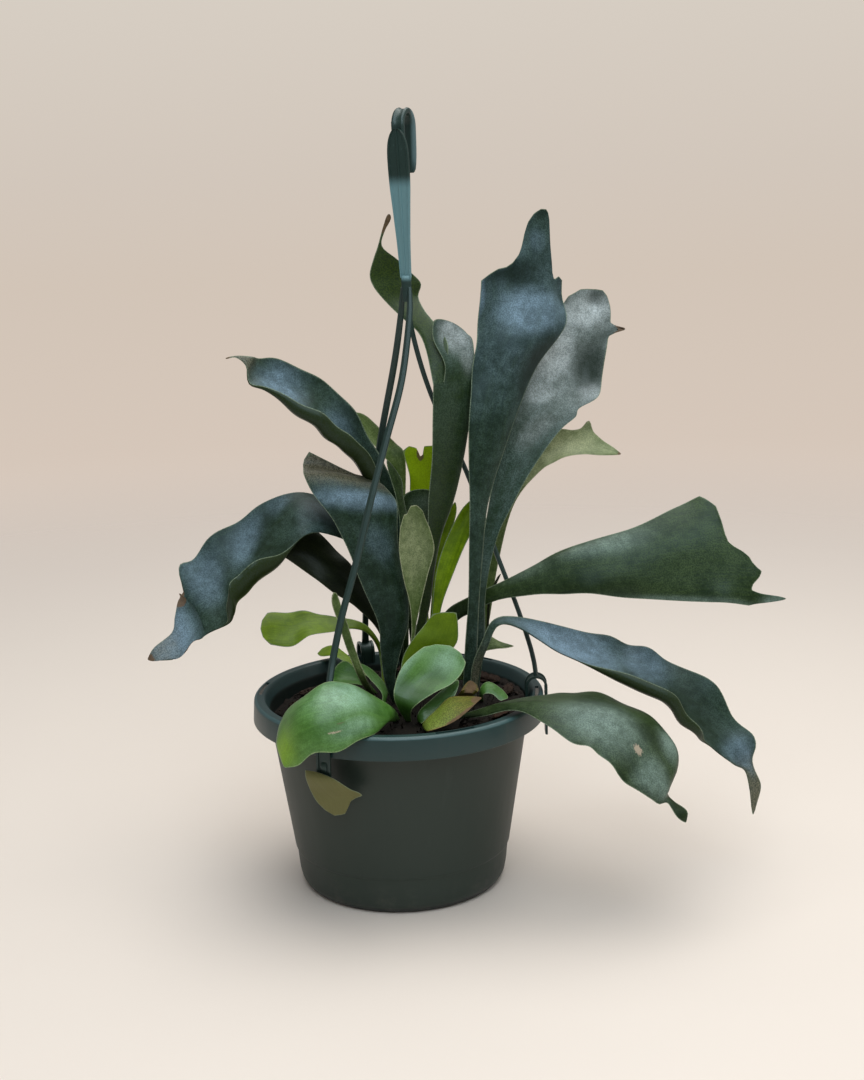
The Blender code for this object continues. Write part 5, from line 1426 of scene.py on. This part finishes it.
frond("leaf_on_back_rim", lime_skin, "frond_lime", [
    (-18, 48, 130,  -16, 52, 130,  0),
    (-42, 70, 140,  -40, 80, 143,  0),
    (-49, 72, 143,  -48, 86, 147,  0),
    (-57, 78, 141,  -56, 92, 144,  0),
    (-61, 84, 141,  -60, 90, 141,  0),
], columns=13)
frond("leaf_folded_green", fresh_skin, "frond_fresh_green", [
    (-19, 17, 130,  -15, 18, 130,  0),
    (-24, -2, 142,  -23, 6, 144,  -1),
    (-34, -8, 146,  -30, 8, 152,  -3),
    (-44, -10, 147,  -37, 8, 158,  -4),
    (-47, -8, 150,  -44, 4, 157,  -1),
], columns=15)
frond("leaf_narrow_green", fresh_skin, "frond_green", [
    (-13, -12, 130,  -10, -7, 130,  0),
    (-12, -8, 138,  -8, 0, 139,  0),
    (-21, -2, 148,  -16, 6, 149,  0),
    (-28, 2, 156,  -25, 8, 156,  0),
], columns=13)
frond("leaf_small_right", fresh_skin, "frond_fresh_green", [
    (57, -5, 130,  59, -10, 130,  0),
    (57, -14, 142,  59, -20, 139,  0),
    (63, -10, 145,  65, -20, 139,  1),
    (71, -12, 141,  70, -22, 135,  1),
    (77, -18, 136,  74, -22, 135,  0),
], columns=15)
frond("leaf_pale_triangle", sage_skin, "frond_sage", [
    (40, 38, 130,  43, 39, 130,  0),
    (51, 42, 144,  55, 40, 145,  0),
    (56, 46, 160,  63, 40, 152,  0),
    (64, 47, 164,  72, 40, 154,  0),
    (75, 46, 158,  78, 41, 154,  0),
    (85, 45, 155,  85, 44, 154,  0),
], columns=15)
frond("shoot_thin", olive_skin, "frond_olive", [
    (53, 34, 130,  56, 35, 130,  0),
    (63, 30, 164,  65, 30, 164,  0),
    (66, 32, 193,  68, 32, 193,  0),
    (72, 33, 208,  74, 33, 208,  0),
    (75, 33, 212,  76, 33, 212,  0),
], stalk=2.0, columns=9)


# --- Shield leaves and the dead frond -------------------------------------------------------
# Withering shield leaves that clasp the stem at the front right, and one dead olive frond that
# hangs against the front clip, outside the basket.

yellow_skin = frond_finish("withered_shield", dark=(0.070, 0.082, 0.006), fresh=(0.200, 0.168, 0.028),
                           hair=(0.34, 0.28, 0.12), under=(0.100, 0.120, 0.020),
                           margin=(0.22, 0.11, 0.04), hairy=0.15, gloss=0.42, shine=(1.0, 1.0, 0.9))
dead_skin = frond_finish("dead_frond", dark=(0.086, 0.096, 0.016), fresh=(0.170, 0.182, 0.044),
                         hair=(0.26, 0.24, 0.13), under=(0.110, 0.110, 0.040), hairy=0.3, gloss=0.5,
                         shine=(1.0, 1.0, 0.9))
frond("shield_withered", yellow_skin, "shield_yellow_green", [
    (16, -60, 130,  19, -65, 130,  0),
    (16, -70, 137,  18, -86, 136,  0),
    (25, -62, 143,  28, -84, 138,  1),
    (34, -56, 149,  37, -78, 140,  1),
    (45, -54, 149,  45, -72, 144,  1),
    (56, -56, 149,  55, -62, 149,  0),
], columns=19, step=1.5, patch=[(0.3, 0, 0.45, 2, 0.75)],
      brown=[(0.98, 0, 0.13, 1.2, 0.8), (0.78, 0.95, 0.3, 0.22, 0.95)])
frond("shield_dark", fresh_skin, "frond_olive", [
    (12, -50, 130,  16, -51, 130,  0),
    (13, -57, 140,  15, -63, 134,  0),
    (22, -49, 146,  26, -57, 139,  0),
    (32, -41, 152,  37, -47, 146,  0),
    (40, -37, 157,  42, -41, 154,  0),
], columns=13, dark=[(0.5, 0, 0.7, 3, 0.95)])
frond("leaf_brown_right", yellow_skin, "frond_olive", [
    (36, -14, 130,  41, -13, 130,  0),
    (42, -30, 144,  53, -30, 143,  0),
    (45, -26, 147,  55, -26, 146,  0),
    (48, -24, 151,  52, -24, 150,  0),
], columns=13, dark=[(0.5, 0, 0.6, 3, 0.6)], brown=[(0.85, 0, 0.3, 1.0, 0.8)])
frond("leaf_dead_hanging", dead_skin, "frond_dead_olive", [
    (-63, -87, 112,  -54, -92, 112,  0),
    (-63, -87, 107,  -43, -98, 109,  -1.5),
    (-61, -84, 98,  -34, -98, 102,  -1.5),
    (-56, -85, 89,  -26, -94, 95,  -1),
    (-47, -86, 78,  -34, -88, 82,  0),
], seated=False, stalk=BLADE_THICKNESS, columns=23, step=1.2, ruffle=(0.4, 20, 0.1, 0.6),
      tip=[(-1, 0.5), (-0.6, 0.1), (0, 0), (0.42, 0), (0.5, 0.8), (0.7, 0.95), (1, 1.05)],
      dark=[(0.0, -1.0, 0.12, 0.5, 0.9)], brown=[(0.8, 1.0, 0.12, 0.35, 1.0)])
